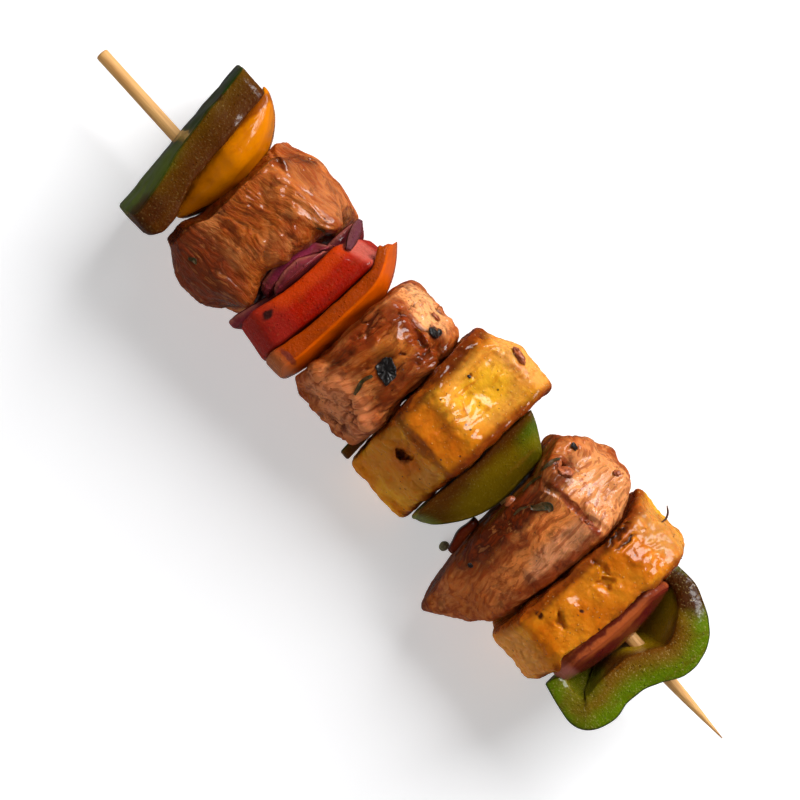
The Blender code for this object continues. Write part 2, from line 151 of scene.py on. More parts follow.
class Net:
    """Fills one node tree. Its methods return wires."""

    def __init__(self, tree):
        self.tree = tree
        tree.nodes.clear()

    def feed(self, socket, value):
        if isinstance(value, Wire):
            self.tree.links.new(value.socket, socket)
        elif socket.type == "RGBA" and len(value) == 3:
            socket.default_value = (*value, 1.0)
        else:
            socket.default_value = value

    def node(self, kind, settings=None, inputs=None):
        """Any node: its settings are set first, then the values or wires of its sockets."""
        made = self.tree.nodes.new(kind)
        for key, value in (settings or {}).items():
            setattr(made, key, value)
        for key, value in (inputs or {}).items():
            self.feed(made.inputs[key], value)
        return made

    def out(self, kind, settings=None, inputs=None, output=0):
        return Wire(self, self.node(kind, settings, inputs).outputs[output])

    def maths(self, operation, *values):
        vectors = [isinstance(v, tuple) or getattr(v, "is_vector", False) for v in values]
        if not any(vectors):
            return self.out("ShaderNodeMath", {"operation": operation}, dict(enumerate(values)))
        if operation == "MULTIPLY" and not all(vectors):
            vector, factor = values if vectors[0] else values[::-1]
            return self.out(
                "ShaderNodeVectorMath", {"operation": "SCALE"}, {0: vector, "Scale": factor}
            )
        return self.out("ShaderNodeVectorMath", {"operation": operation}, dict(enumerate(values)))

    def function(self, operation, *values):
        """A Math node with that operation on plain numbers, such as SINE or MAXIMUM."""
        return self.out("ShaderNodeMath", {"operation": operation}, dict(enumerate(values)))

    def dot(self, a, b):
        settings = {"operation": "DOT_PRODUCT"}
        return self.out("ShaderNodeVectorMath", settings, {0: a, 1: b}, "Value")

    def length(self, a):
        settings = {"operation": "LENGTH"}
        return self.out("ShaderNodeVectorMath", settings, {0: a}, "Value")

    def part(self, vector, axis):
        return self.out("ShaderNodeSeparateXYZ", None, {0: vector}, axis)

    def join(self, x, y, z):
        return self.out("ShaderNodeCombineXYZ", None, {0: x, 1: y, 2: z})

    def ease(self, value, start, end, low=0.0, high=1.0):
        """Goes smoothly from low at start to high at end."""
        inputs = {0: value, 1: start, 2: end, 3: low, 4: high}
        return self.out("ShaderNodeMapRange", {"interpolation_type": "SMOOTHSTEP"}, inputs)

    def noise(self, at, scale, detail=2.0, roughness=0.5, distortion=0.0, output="Fac"):
        inputs = {
            "Vector": at,
            "Scale": scale,
            "Detail": detail,
            "Roughness": roughness,
            "Distortion": distortion,
        }
        return self.out("ShaderNodeTexNoise", None, inputs, output)

    def cells(self, at, scale, feature="F1", randomness=1.0, output="Distance"):
        inputs = {"Vector": at, "Scale": scale, "Randomness": randomness}
        return self.out("ShaderNodeTexVoronoi", {"feature": feature}, inputs, output)

    def mix(self, first, second, share):
        """A colour between two others."""
        settings = {"data_type": "RGBA", "clamp_factor": True}
        inputs = {"Factor": share, 6: first, 7: second}
        return self.out("ShaderNodeMix", settings, inputs, 2)

    def warp(self, at, scale, amount):
        """at, pushed about by noise."""
        push = self.noise(at, scale, 1.0, output="Color") - (0.5, 0.5, 0.5)
        return at + push * amount

    def stretch(self, at, along, times):
        """at, drawn out so that a pattern on it is times longer along a direction."""
        direction = along if isinstance(along, Wire) else tuple(Vector(along).normalized())
        shorten = self.dot(at, direction) * (1.0 / times - 1.0)
        return at + self.out(
            "ShaderNodeVectorMath", {"operation": "SCALE"}, {0: direction, "Scale": shorten}
        )

    def beads(self, at, scale, share):
        """1 at the middle of small round beads, which sit in a share of the cells."""
        chosen = self.part(self.cells(at, scale, output="Color"), 0)
        round_off = self.ease(self.cells(at, scale), 0.3, 0.04)
        return round_off * self.ease(chosen, share + 0.02, share)

    def spot(self, at, centre, radii, soft=0.5):
        """1 inside an ellipsoid, 0 outside it."""
        reach = self.length((at - centre) * tuple(1.0 / r for r in radii))
        return self.ease(reach, 1.0 + soft / 2.0, 1.0 - soft / 2.0)


class Finish(Net):
    """A material under construction, with place as millimetres from the stick's axis."""

    def __init__(self, name):
        self.material = bpy.data.materials.new(name)
        self.material.use_nodes = True
        super().__init__(self.material.node_tree)
        coords = self.out("ShaderNodeTexCoord", None, None, "Object")
        self.place = coords * (1.0 / MM) - (0.0, AXIS_Y / MM, AXIS_Z / MM)

    def stored(self, name):
        return self.out("ShaderNodeAttribute", {"attribute_name": name}, None, "Fac")

    def x(self):
        return self.part(self.place, 0)

    def y(self):
        return self.part(self.place, 1)

    def z(self):
        return self.part(self.place, 2)

    def close(self, colour, roughness, height=None, depth=0.1, **constants):
        """Ends the tree in a Principled shader. height is relief in millimetres."""
        inputs = {"Base Color": colour, "Roughness": roughness}
        inputs.update({key.replace("_", " "): value for key, value in constants.items()})
        if height is not None:
            bump = self.out(
                "ShaderNodeBump",
                None,
                {"Height": height, "Distance": depth * MM, "Strength": 1.0},
            )
            inputs["Normal"] = bump
        shader = self.out("ShaderNodeBsdfPrincipled", None, inputs)
        self.node("ShaderNodeOutputMaterial", None, {"Surface": shader})
        return self.material


class Shaper(Net):
    """A Geometry Nodes tree that moves a surface. size() gives its named sockets."""

    def __init__(self, name, **sizes):
        tree = bpy.data.node_groups.new(name, "GeometryNodeTree")
        super().__init__(tree)
        face = tree.interface
        face.new_socket("Geometry", in_out="OUTPUT", socket_type="NodeSocketGeometry")
        face.new_socket("Geometry", in_out="INPUT", socket_type="NodeSocketGeometry")
        for label, default in sizes.items():
            vector = isinstance(default, tuple)
            kind = "NodeSocketVector" if vector else "NodeSocketFloat"
            made = face.new_socket(label.replace("_", " "), in_out="INPUT", socket_type=kind)
            made.default_value = default
        face.new_socket("Material", in_out="INPUT", socket_type="NodeSocketMaterial")
        self.entry = self.node("NodeGroupInput")
        position = self.out("GeometryNodeInputPosition")
        self.place = position * (1.0 / MM) - (0.0, AXIS_Y / MM, AXIS_Z / MM)
        self.normal = self.out("GeometryNodeInputNormal")
        self.seeded = self.place + self.size("Seed") * (17.3, 31.7, 11.9)

    def size(self, label):
        return Wire(self, self.entry.outputs[label.replace("_", " ")])

    def store(self, mesh, name, value):
        inputs = {"Geometry": mesh, "Name": name, "Value": value}
        return self.out(
            "GeometryNodeStoreNamedAttribute",
            {"data_type": "FLOAT", "domain": "POINT"},
            inputs,
        )

    def kept(self, name):
        settings = {"data_type": "FLOAT"}
        return self.out("GeometryNodeInputNamedAttribute", settings, {"Name": name}, "Attribute")

    def close(self, height, **kept):
        """Stores values of the surface as it was, then moves each point out by height. No
        point goes below the table."""
        mesh = Wire(self, self.entry.outputs["Geometry"])
        for name, value in {**kept, "height": height}.items():
            mesh = self.store(mesh, name, value)
        position = self.out("GeometryNodeInputPosition")
        moved = position + self.normal * (self.kept("height") * MM)
        level = self.function("MAXIMUM", self.part(moved, 2), 0.0)
        moved = self.join(self.part(moved, 0), self.part(moved, 1), level)
        mesh = self.out("GeometryNodeSetPosition", None, {"Geometry": mesh, "Position": moved})
        self.finish(mesh)

    def finish(self, mesh):
        mesh = self.out("GeometryNodeRealizeInstances", None, {"Geometry": mesh})
        inputs = {"Geometry": mesh, "Material": self.size("Material")}
        mesh = self.out("GeometryNodeSetMaterial", None, inputs)
        self.node("NodeGroupOutput", None, {"Geometry": mesh})


# ---------------------------------------------------------------- meshes


def new_object(name, mesh):
    obj = bpy.data.objects.new(name, mesh)
    bpy.context.scene.collection.objects.link(obj)
    return obj


def applied(obj):
    """obj with its modifiers turned into plain mesh."""
    bpy.context.view_layer.update()
    graph = bpy.context.evaluated_depsgraph_get()
    mesh = bpy.data.meshes.new_from_object(obj.evaluated_get(graph))
    obj.modifiers.clear()
    obj.data = mesh
    return obj


def shape_with(obj, tree, material, **sizes):
    """Runs a Geometry Nodes tree on obj and keeps the result as plain mesh."""
    changer = obj.modifiers.new(tree.name, "NODES")
    changer.node_group = tree
    values = {label.replace("_", " "): value for label, value in sizes.items()}
    values["Material"] = material
    for item in tree.interface.items_tree:
        if item.in_out == "INPUT" and item.name in values:
            changer[item.identifier] = values[item.name]
    applied(obj)
    obj.data.materials.clear()
    obj.data.materials.append(material)
    return obj


def show(obj, slot, *nodes):
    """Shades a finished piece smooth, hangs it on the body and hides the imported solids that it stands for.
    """
    obj.data.shade_smooth()
    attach(obj, BODY)
    for node in nodes:
        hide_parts(node)


def points_of(mesh):
    flat = np.empty(len(mesh.vertices) * 3)
    mesh.vertices.foreach_get("co", flat)
    return (flat.reshape(-1, 3) - (0.0, AXIS_Y, AXIS_Z)) / MM


def set_points(mesh, points):
    mesh.vertices.foreach_set("co", to_metres(points).ravel())
    mesh.update()


def normals_of(mesh):
    flat = np.empty(len(mesh.vertices) * 3)
    mesh.vertex_normals.foreach_get("vector", flat)
    return flat.reshape(-1, 3)


def keep_value(mesh, name, values):
    made = mesh.attributes.new(name, "FLOAT", "POINT")
    made.data.foreach_set("value", np.asarray(values, float))


def ring_mesh(name, rings, values=None):
    """A skin over rings of points. rings is an array (ring, point, 3) in millimetres. The
    first and last ring are closed by a fan to their middle. values holds arrays by ring and
    point that are kept as attributes."""
    count, size = rings.shape[:2]
    ends = np.array([rings[0].mean(0), rings[-1].mean(0)])
    points = np.concatenate([rings.reshape(-1, 3), ends])
    faces = []
    for k in range(count - 1):
        a, b = k * size, (k + 1) * size
        for i in range(size):
            j = (i + 1) % size
            faces.append((a + i, a + j, b + j, b + i))
    last = (count - 1) * size
    for i in range(size):
        j = (i + 1) % size
        faces.append((j, i, count * size))
        faces.append((last + i, last + j, count * size + 1))
    mesh = bpy.data.meshes.new(name)
    mesh.from_pydata(to_metres(points).tolist(), [], faces)
    mesh.update()
    for label, held in (values or {}).items():
        ends = (held[0].mean(), held[-1].mean())
        keep_value(mesh, label, np.concatenate([held.ravel(), ends]))
    bm = bmesh.new()
    bm.from_mesh(mesh)
    bmesh.ops.recalc_face_normals(bm, faces=bm.faces)
    bm.to_mesh(mesh)
    bm.free()
    return mesh


# ---------------------------------------------------------------- threaded slices


def rounded_outline(corners, radius, bulge, count):
    """count evenly spaced points round a polygon of (y, z) corners. Each corner is eased over
    its radius and each side swells by bulge in its middle."""
    corners = np.array(corners, float)
    amount = len(corners)
    before = np.roll(corners, 1, 0) - corners
    after = np.roll(corners, -1, 0) - corners
    curve = []
    steps = np.linspace(0.0, 1.0, 9)[:, None]
    starts, ends = [], []
    for way, kept in ((before, starts), (after, ends)):
        lengths = np.linalg.norm(way, axis=1, keepdims=True)
        kept.append(corners + way / lengths * np.minimum(radius, 0.4 * lengths))
    starts, ends = starts[0], ends[0]
    for i in range(amount):
        a, b, c = starts[i], corners[i], ends[i]
        curve.append(a * (1 - steps) ** 2 + 2 * b * steps * (1 - steps) + c * steps**2)
        side = starts[(i + 1) % amount] - c
        outward = np.array([side[1], -side[0]]) / np.linalg.norm(side)
        t = np.linspace(0.0, 1.0, 12)[1:-1, None]
        curve.append(c + side * t + outward * bulge * 4.0 * t * (1.0 - t))
    curve = np.concatenate(curve)
    loop = np.vstack([curve, curve[:1]])
    walked = np.concatenate([[0.0], np.cumsum(np.linalg.norm(np.diff(loop, axis=0), axis=1))])
    wanted = np.linspace(0.0, walked[-1], count, endpoint=False)
    return np.stack([np.interp(wanted, walked, loop[:, k]) for k in (0, 1)], axis=1)


def slice_mesh(
    name,
    corners,
    left,
    right,
    skin,
    radius=2.0,
    bulge=0.5,
    edge=0.8,
    low_corners=None,
    centre=(0.0, 0.0),
    segments=220,
    rings=34,
    edge_steps=5,
    side_steps=7,
):
    """A slice between the faces x = left(y, z) and x = right(y, z), outlined across the
    stick. The attribute depth is the distance from its skin, a face x = skin(y, z)."""
    outline = rounded_outline(corners, radius, bulge, segments)
    far = outline if low_corners is None else rounded_outline(low_corners, radius, bulge, segments)
    centre = np.array(centre)
    bands = []
    for side, rim in ((0, outline), (1, far)):
        face = right if side else left
        spoke = rim - centre
        reach = np.linalg.norm(spoke, axis=1, keepdims=True)
        thick = right(rim[:, 0], rim[:, 1]) - left(rim[:, 0], rim[:, 1])
        round_by = np.minimum(edge, 0.45 * np.maximum(0.2, thick))[:, None]
        found = []
        for k in range(1, rings):
            point = centre + spoke * (k / rings) * (1.0 - round_by / reach)
            found.append(np.column_stack([face(point[:, 0], point[:, 1]), point]))
        for turn in np.linspace(0.0, math.pi / 2.0, edge_steps + 1):
            point = centre + spoke * (1.0 - round_by * (1.0 - math.sin(turn)) / reach)
            sink = (round_by * (1.0 - math.cos(turn)))[:, 0] * (-1.0 if side else 1.0)
            found.append(np.column_stack([face(point[:, 0], point[:, 1]) + sink, point]))
        bands.append(found)
    start, end = bands[0][-1], bands[1][-1]
    middle = [start + (end - start) * k / side_steps for k in range(1, side_steps)]
    rings_all = np.array(bands[0] + middle + bands[1][::-1])
    held = np.abs(rings_all[..., 0] - skin(rings_all[..., 1], rings_all[..., 2]))
    return ring_mesh(name, rings_all, values={"depth": held})


# ---------------------------------------------------------------- chunks


def chunk(name, node, voxel, smoothing):
    """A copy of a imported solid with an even, finely divided and softened surface."""
    bm = bmesh.new()
    bm.from_mesh(frame["nodes"][node].data)
    bmesh.ops.remove_doubles(bm, verts=bm.verts, dist=1e-6)
    mesh = bpy.data.meshes.new(name)
    bm.to_mesh(mesh)
    bm.free()
    obj = new_object(name, mesh)
    divide = obj.modifiers.new("even_faces", "REMESH")
    divide.mode = "VOXEL"
    divide.voxel_size = voxel * MM
    soften = obj.modifiers.new("soften", "SMOOTH")
    soften.factor = 0.5
    soften.iterations = smoothing
    return applied(obj)


def push(points, centre, radii, move):
    """Moves the points near centre by move, fading to nothing at the radii."""
    reach = np.linalg.norm((points - centre) / radii, axis=1)
    return points + ease(reach, 1.0, 0.0)[:, None] * np.array(move)


def pit(points, x, y, half_x, half_y, depth, lean=0.0):
    """Sinks a ragged patch of the upper side. lean slants its long side."""
    across, along = points[:, 0] - x, points[:, 1] - y
    across = across - lean * along + 0.25 * half_x * np.sin(2.9 * along + x)
    along = along + 0.3 * half_y * np.sin(2.3 * across + y)
    reach = np.sqrt((across / half_x) ** 2 + (along / half_y) ** 2)
    sunk = ease(reach, 1.0, 0.6) * ease(points[:, 2], 0.0, 4.0) * depth
    return points - sunk[:, None] * np.array((0.0, 0.0, 1.0))


def crease(points, path, width, depth, down=(0.0, 0.0, -1.0)):
    """Presses a furrow along a path of points."""
    best = np.full(len(points), 1e9)
    for a, b in zip(path[:-1], path[1:]):
        a, b = np.array(a), np.array(b)
        t = np.clip((points - a) @ (b - a) / ((b - a) @ (b - a)), 0.0, 1.0)
        gap = np.linalg.norm(points - (a + t[:, None] * (b - a)), axis=1)
        best = np.minimum(best, gap)
    return points + (ease(best, width, 0.0) * depth)[:, None] * np.array(down)


# ---------------------------------------------------------------- relief trees


def meat_relief():
    """Muscle fibres in wandering bundles over soft folds, with gaps where they part."""
    t = Shaper(
        "meat_relief",
        Fibre_Direction=(1.0, 0.0, 0.0),
        Fibre_Length=6.0,
        Fibre_Width=1.2,
        Fibre_Depth=0.3,
        Fold_Width=4.0,
        Fold_Depth=0.5,
        Gap_Depth=0.5,
        Lump_Depth=0.6,
        Seed=0.0,
    )
    along = t.size("Fibre_Direction")
    bent = t.warp(t.warp(t.seeded, 0.06, 9.0), 0.2, 2.0)
    drawn = t.stretch(bent, along, t.size("Fibre_Length"))
    thread = t.noise(drawn, 1.0 / t.size("Fibre_Width"), 1.5, 0.55)
    thread = 1.0 - t.function("ABSOLUTE", thread * 2.0 - 1.0) * 3.0
    fold = t.noise(t.stretch(bent, along, 3.0), 1.0 / t.size("Fold_Width"), 1.0)
    parted = t.cells(drawn, 0.5, "DISTANCE_TO_EDGE")
    gap = t.ease(parted, 0.14, 0.0) * t.ease(t.noise(t.seeded, 0.22, 1.0), 0.5, 0.66)
    crevice = (
        (thread - 0.6) * t.size("Fibre_Depth") * 0.5
        + (fold - 0.5) * 2.0 * t.size("Fold_Depth")
        - gap * t.size("Gap_Depth")
    )
    lumps = (t.noise(t.seeded, 0.12, 2.0) - 0.5) * 2.0 * t.size("Lump_Depth")
    t.close(lumps + crevice, crevice=crevice, end=t.function("ABSOLUTE", t.part(t.normal, 0)))
    return t.tree


def fruit_relief():
    """Juice sacs drawn out along the fibre, wet dimples and broad lumps."""
    t = Shaper(
        "fruit_relief",
        Fibre_Direction=(0.0, 1.0, 0.0),
        Sac_Width=2.0,
        Sac_Depth=0.45,
        Dimple_Width=1.1,
        Dimple_Depth=0.12,
        Lump_Depth=0.5,
        Seed=0.0,
    )
    bent = t.warp(t.seeded, 0.14, 5.0)
    sacs = t.stretch(bent, t.size("Fibre_Direction"), 3.6)
    edge = t.cells(sacs, 1.0 / t.size("Sac_Width"), "DISTANCE_TO_EDGE")
    swell = t.ease(edge, 0.0, 0.35)
    patchy = t.ease(t.noise(t.seeded, 0.11, 1.0), 0.35, 0.62)
    dimples = t.noise(t.warp(t.seeded, 0.4, 1.5), 1.0 / t.size("Dimple_Width"), 2.0)
    crevice = (swell - 1.0) * t.size("Sac_Depth") * patchy
    lumps = (t.noise(t.seeded, 0.16, 3.0) - 0.5) * 2.0 * t.size("Lump_Depth")
    height = lumps + crevice + (dimples - 0.5) * 2.0 * t.size("Dimple_Depth")
    t.close(height, crevice=crevice, end=t.function("ABSOLUTE", t.part(t.normal, 0)))
    return t.tree


def flesh_relief():
    """Soft waves and fine streaks for slices of pepper and onion."""
    t = Shaper(
        "flesh_relief",
        Streak_Direction=(0.0, 1.0, 0.0),
        Streak_Width=0.9,
        Streak_Depth=0.1,
        Wave_Width=7.0,
        Wave_Depth=0.35,
        Seed=0.0,
    )
    drawn = t.stretch(t.seeded, t.size("Streak_Direction"), 4.0)
    streak = t.noise(t.warp(drawn, 0.4, 0.8), 1.0 / t.size("Streak_Width"), 1.0)
    wave = t.noise(t.seeded, 1.0 / t.size("Wave_Width"), 1.0)
    cut = t.ease(t.kept("depth"), 0.1, 0.6)
    crevice = (streak - 0.5) * 2.0 * t.size("Streak_Depth") * cut
    height = (wave - 0.5) * 2.0 * t.size("Wave_Depth") + crevice
    t.close(height, crevice=crevice, end=t.function("ABSOLUTE", t.part(t.normal, 0)))
    return t.tree


def scattered_bits():
    """Small grains lying on the surface that faces up, each turned and sized at random."""
    t = Shaper("scattered_bits", Per_Square_Centimetre=3.0, Bit_Size=0.3, Bit_Length=1.0, Seed=0.0)
    surface = Wire(t, t.entry.outputs["Geometry"])
    density = t.size("Per_Square_Centimetre") * 1.0e4
    facing = t.ease(t.part(t.normal, 2), -0.7, -0.3)
    spread = t.node(
        "GeometryNodeDistributePointsOnFaces",
        {"distribute_method": "RANDOM"},
        {"Mesh": surface, "Density": density * facing},
    )
    t.feed(spread.inputs["Seed"], t.size("Seed"))
    grain = t.out(
        "GeometryNodeMeshIcoSphere", None, {"Radius": t.size("Bit_Size") * MM, "Subdivisions": 2}
    )
    full = math.tau
    turn = t.out(
        "FunctionNodeRandomValue",
        {"data_type": "FLOAT_VECTOR"},
        {0: (0.0, 0.0, 0.0), 1: (full, full, full), "Seed": t.size("Seed")},
    )
    longer = t.size("Bit_Length")
    big = t.join(longer * 1.5, 1.2, 0.5)
    small = t.join(longer * 0.5, 0.5, 0.2)
    sizes = t.out(
        "FunctionNodeRandomValue",
        {"data_type": "FLOAT_VECTOR"},
        {0: small, 1: big, "Seed": t.size("Seed")},
    )
    laid = t.out(
        "GeometryNodeInstanceOnPoints",
        None,
        {
            "Points": Wire(t, spread.outputs["Points"]),
            "Instance": grain,
            "Rotation": turn,
            "Scale": sizes,
        },
    )
    t.finish(laid)
    return t.tree


# ---------------------------------------------------------------- finishes


def srgb(red, green, blue):
    """A linear colour from its 0 to 255 screen values."""
    screen = np.array([red, green, blue]) / 255.0
    linear = np.where(screen <= 0.04045, screen / 12.92, ((screen + 0.055) / 1.055) ** 2.4)
    return tuple(float(c) for c in linear)


def marked(f, colour, marks, wander=1.4):
    """Adds local tones. Each mark is a centre, three radii, a colour and a strength."""
    at = f.warp(f.place, 0.5, wander)
    for centre, radii, tint, strength in marks:
        colour = f.mix(colour, tint, f.spot(at, centre, radii, 0.7) * strength)
    return colour


def chicken_finish(name, sizes, seed, fibre, strands, long, marks=()):
    f = Finish(name)
    at = f.place + (seed * 17.3, seed * 31.7, seed * 11.9)
    crevice = f.stored("crevice")
    bent = f.warp(f.warp(at, 0.06, 9.0), 0.2, 2.0)
    thread = f.noise(f.stretch(bent, fibre, long * 1.1), 0.9, 3.0, 0.55)
    cooked = f.noise(at, 0.1, 3.0, 0.6)
    patches = f.noise(f.warp(at, 0.25, 3.0), 0.25, 4.0, 0.6)
    streaks = f.noise(f.stretch(bent, fibre, long * 0.8), 0.4, 3.0, 0.6)
    colour = f.mix(tuple(sizes.pale), tuple(sizes.browned), f.ease(cooked, 0.38, 0.56))
    colour = f.mix(colour, tuple(sizes.red_brown), f.ease(streaks, 0.46, 0.6) * 0.6)
    colour = marked(f, colour, marks)
    colour = f.mix(colour, tuple(sizes.red_brown), f.ease(thread, 0.49, 0.6) * strands)
    colour = f.mix(colour, tuple(sizes.pale), f.ease(thread, 0.45, 0.34) * strands * 0.7)
    colour = f.mix(colour, tuple(sizes.glaze_and_shade), f.ease(patches, 0.54, 0.68) * 0.5)
    # The glaze tone in the creases and on the end faces is partly real glaze and partly painted shade, where
    # the folds and the neighbouring pieces shade the meat.
    colour = f.mix(colour, tuple(sizes.glaze_and_shade), f.ease(crevice, -0.16, -0.6) * 0.8)
    colour = f.mix(colour, tuple(sizes.glaze_and_shade), f.ease(f.stored("end"), 0.55, 0.95) * 0.6)
    burnt = f.ease(f.noise(at, 0.45, 4.0, 0.7), 0.67, 0.73)
    colour = f.mix(colour, tuple(sizes.char), burnt * 0.8)
    wet = f.ease(patches, 0.38, 0.58)
    pores = f.noise(f.stretch(at, fibre, 2.0), 1.8, 3.0, 0.6)
    beads = f.beads(f.warp(at, 0.6, 0.8), 1.3, 0.3) * wet
    return f.close(
        colour,
        0.5,
        thread * 0.6 + pores * 0.16 + beads * 0.14,
        depth=1.0,
        Subsurface_Weight=0.3,
        Subsurface_Radius=(1.0, 0.35, 0.12),
        Subsurface_Scale=1.0 * MM,
        Specular_IOR_Level=0.06,
        Coat_Weight=f.ease(wet, 0.0, 1.0, 0.35, 1.0),
        Coat_Roughness=0.13,
    )


def pineapple_finish(name, sizes, seed, box, marks=()):
    f = Finish(name)
    low, high = box
    at = f.place + (seed * 17.3, seed * 31.7, seed * 11.9)
    tint = f.noise(at, 0.13, 2.0, 0.55)
    grain = f.noise(f.stretch(f.warp(at, 0.2, 2.5), (0.0, 1.0, 0.0), 5.0), 0.6, 3.0, 0.6)
    colour = f.mix(tuple(sizes.bright), tuple(sizes.deep), f.ease(tint, 0.36, 0.6))
    colour = marked(f, colour, marks)
    colour = f.mix(colour, tuple(sizes.amber), f.ease(grain, 0.48, 0.68) * 0.55)
    mottle = f.noise(f.warp(at, 0.4, 2.0), 0.35, 4.0, 0.65)
    colour = f.mix(colour, tuple(sizes.caramel), f.ease(mottle, 0.56, 0.72) * 0.4)
    colour = f.mix(colour, tuple(sizes.caramel), f.ease(f.stored("crevice"), -0.1, -0.5) * 0.4)
    wander = (f.noise(at, 0.3, 3.0, 0.6) - 0.5) * 4.0
    near_end = f.function("MINIMUM", f.x() - low.x, high.x - f.x()) + wander
    colour = f.mix(colour, tuple(sizes.caramel), f.ease(near_end, 3.0, 0.8) * 0.85)
    colour = f.mix(colour, tuple(sizes.caramel), f.ease(f.stored("end"), 0.55, 0.95) * 0.7)
    specks = f.ease(f.cells(at, 0.4), 0.14, 0.08) * f.ease(f.noise(at, 0.3, 1.0), 0.5, 0.6)
    colour = f.mix(colour, tuple(sizes.speck), specks * 0.8)
    rough = f.ease(f.noise(at, 0.5, 2.0), 0.35, 0.65, 0.14, 0.34)
    beads = f.beads(f.warp(at, 0.6, 0.8), 1.2, 0.35)
    # Painted highlights: pale dots on the beads, away from the low front, stand in for glints of light.
    colour = f.mix(colour, srgb(250, 220, 150), beads * f.ease(f.y(), -12.0, -6.0) * 0.3)
    height = f.noise(at, 0.7, 2.5, 0.5) * 0.3 + grain * 0.2 + beads * 0.16
    return f.close(
        colour,
        rough,
        height,
        depth=1.0,
        Subsurface_Weight=0.35,
        Subsurface_Radius=(1.0, 0.45, 0.08),
        Subsurface_Scale=2.0 * MM,
        Specular_IOR_Level=0.06,
        Coat_Weight=f.ease(f.y(), -10.0, -2.0, 0.3, 0.8) * f.ease(f.y(), 24.0, 13.0, 0.35, 1.0),
        Coat_Roughness=0.1,
    )


def slice_finish(
    name,
    skin,
    near,
    inner,
    rim,
    wall,
    gloss=0.3,
    seed=0.0,
    browned=0.5,
    fresh=0.05,
    marks=(),
    sparkle=0.2,
    painted_glint_share=0.04,
):
    """Pepper and onion: skin colour on the outside, flesh by its depth below the skin, and
    a browned rim at the far side of the cut."""
    f = Finish(name)
    at = f.place + (seed * 17.3, seed * 31.7, seed * 11.9)
    under = f.stored("depth")
    depth = under + (f.noise(at, 0.4, 2.0) - 0.5) * 0.8
    flesh = f.mix(near, inner, f.ease(depth, wall * fresh, wall * (fresh + 0.6)))
    mottle = f.noise(f.stretch(at, (0.0, 1.0, 0.0), 1.6), 0.5, 2.0, 0.55)
    flesh = f.mix(flesh, rim, f.ease(mottle, 0.48, 0.75) * 0.35)
    flesh = f.mix(flesh, rim, f.ease(depth, wall * 0.75, wall) * browned)
    shade = f.ease(f.noise(at, 0.2, 2.0), 0.35, 0.65, 0.0, 0.25)
    outside = f.mix(skin, near, shade)
    colour = marked(f, f.mix(flesh, outside, f.ease(under, 0.45, 0.15)), marks)
    on_skin = f.ease(under, 0.3, 0.1)
    rough = f.ease(on_skin, 0.0, 1.0, gloss + 0.08, gloss)
    beads = f.beads(f.warp(at, 0.6, 0.6), 1.25, 0.34)
    # Painted highlights: pale specks mixed into the colour of the cut flesh stand in for small glints of
    # light.
    painted_glints = f.ease(f.noise(at, 2.0, 3.0, 0.6), 0.54, 0.76) * (1.0 - on_skin) * painted_glint_share
    colour = f.mix(colour, srgb(236, 206, 130), painted_glints)
    height = (f.noise(at, 1.8, 3.0, 0.55) + beads) * (1.0 - on_skin * 0.9) * sparkle
    wet = f.ease(f.noise(at, 1.1, 3.0, 0.6), 0.44, 0.56, 0.1, 0.7)
    return f.close(
        colour,
        rough,
        height,
        depth=1.0,
        Subsurface_Weight=0.1,
        Subsurface_Radius=(0.8, 0.4, 0.1),
        Subsurface_Scale=1.2 * MM,
        Specular_IOR_Level=0.06,
        Coat_Weight=wet + (0.7 - wet) * on_skin,
        Coat_Roughness=0.1,
    )


def bamboo_finish(sizes):
    f = Finish("bamboo_grain")
    drawn = f.stretch(f.place, (1.0, 0.0, 0.0), 40.0)
    grain = f.noise(drawn, 4.0, 3.0, 0.6)
    bands = f.noise(f.stretch(f.place, (1.0, 0.0, 0.0), 12.0), 0.7, 2.0)
    colour = f.mix(tuple(sizes.pale), tuple(sizes.dark), f.ease(grain, 0.35, 0.7) * 0.7)
    colour = f.mix(colour, tuple(sizes.dark), f.ease(bands, 0.45, 0.7) * 0.4)
    toasted = f.ease(f.x(), 96.5, 100.0) * 0.6
    colour = f.mix(colour, tuple(sizes.toasted), toasted)
    colour = f.mix(colour, tuple(sizes.toasted), f.ease(f.x(), -99.6, -100.0) * 0.5)
    return f.close(colour, 0.55, grain * 0.12, depth=1.0)


def plain_finish(name, first, second, scale=1.5, roughness=0.4, coat=0.3):
    f = Finish(name)
    colour = f.mix(first, second, f.ease(f.noise(f.place, scale, 3.0, 0.6), 0.35, 0.65))
    height = f.noise(f.place, scale * 2.5, 3.0, 0.6) * 0.15
    return f.close(colour, roughness, height, depth=1.0, Coat_Weight=coat, Coat_Roughness=0.15)


# ---------------------------------------------------------------- sizes and colours


def length(name, description, millimetres):
    return FloatProperty(
        name=name,
        description=description,
        default=millimetres * MM,
        unit="LENGTH",
        precision=5,
        min=0.0,
    )


def tone(name, description, red, green, blue):
    return FloatVectorProperty(
        name=name,
        description=description,
        default=srgb(red, green, blue),
        size=3,
        min=0.0,
        max=1.0,
        subtype="COLOR",
    )


class KebabMeatSizes(bpy.types.PropertyGroup):
    voxel: length("Surface step", "Spacing of the surface points of a chunk", 0.32)
    fibre_width: length("Fibre width", "Width of one muscle fibre", 1.3)
    fibre_depth: length("Fibre depth", "Height of one muscle fibre", 0.3)
    fold_width: length("Fold width", "Width of the soft folds", 3.6)
    fold_depth: length("Fold depth", "Height of the soft folds", 0.55)
    gap_depth: length("Gap depth", "Depth of the gaps between bundles", 0.3)
    lump_depth: length("Lump height", "Height of the broad lumps", 0.9)
    pale: tone("Pale meat", "Cooked meat where the fire touched it least", 212, 128, 66)
    browned: tone("Browned meat", "Evenly browned crust", 182, 90, 26)
    red_brown: tone("Red-brown meat", "Meat under the glaze", 146, 54, 10)
    # This tone serves the glaze and also the painted shade in the creases and on the end faces.
    glaze_and_shade: tone("Glaze", "Dark sticky glaze in folds and on edges", 82, 24, 2)
    char: tone("Char", "Burnt spots", 38, 14, 8)


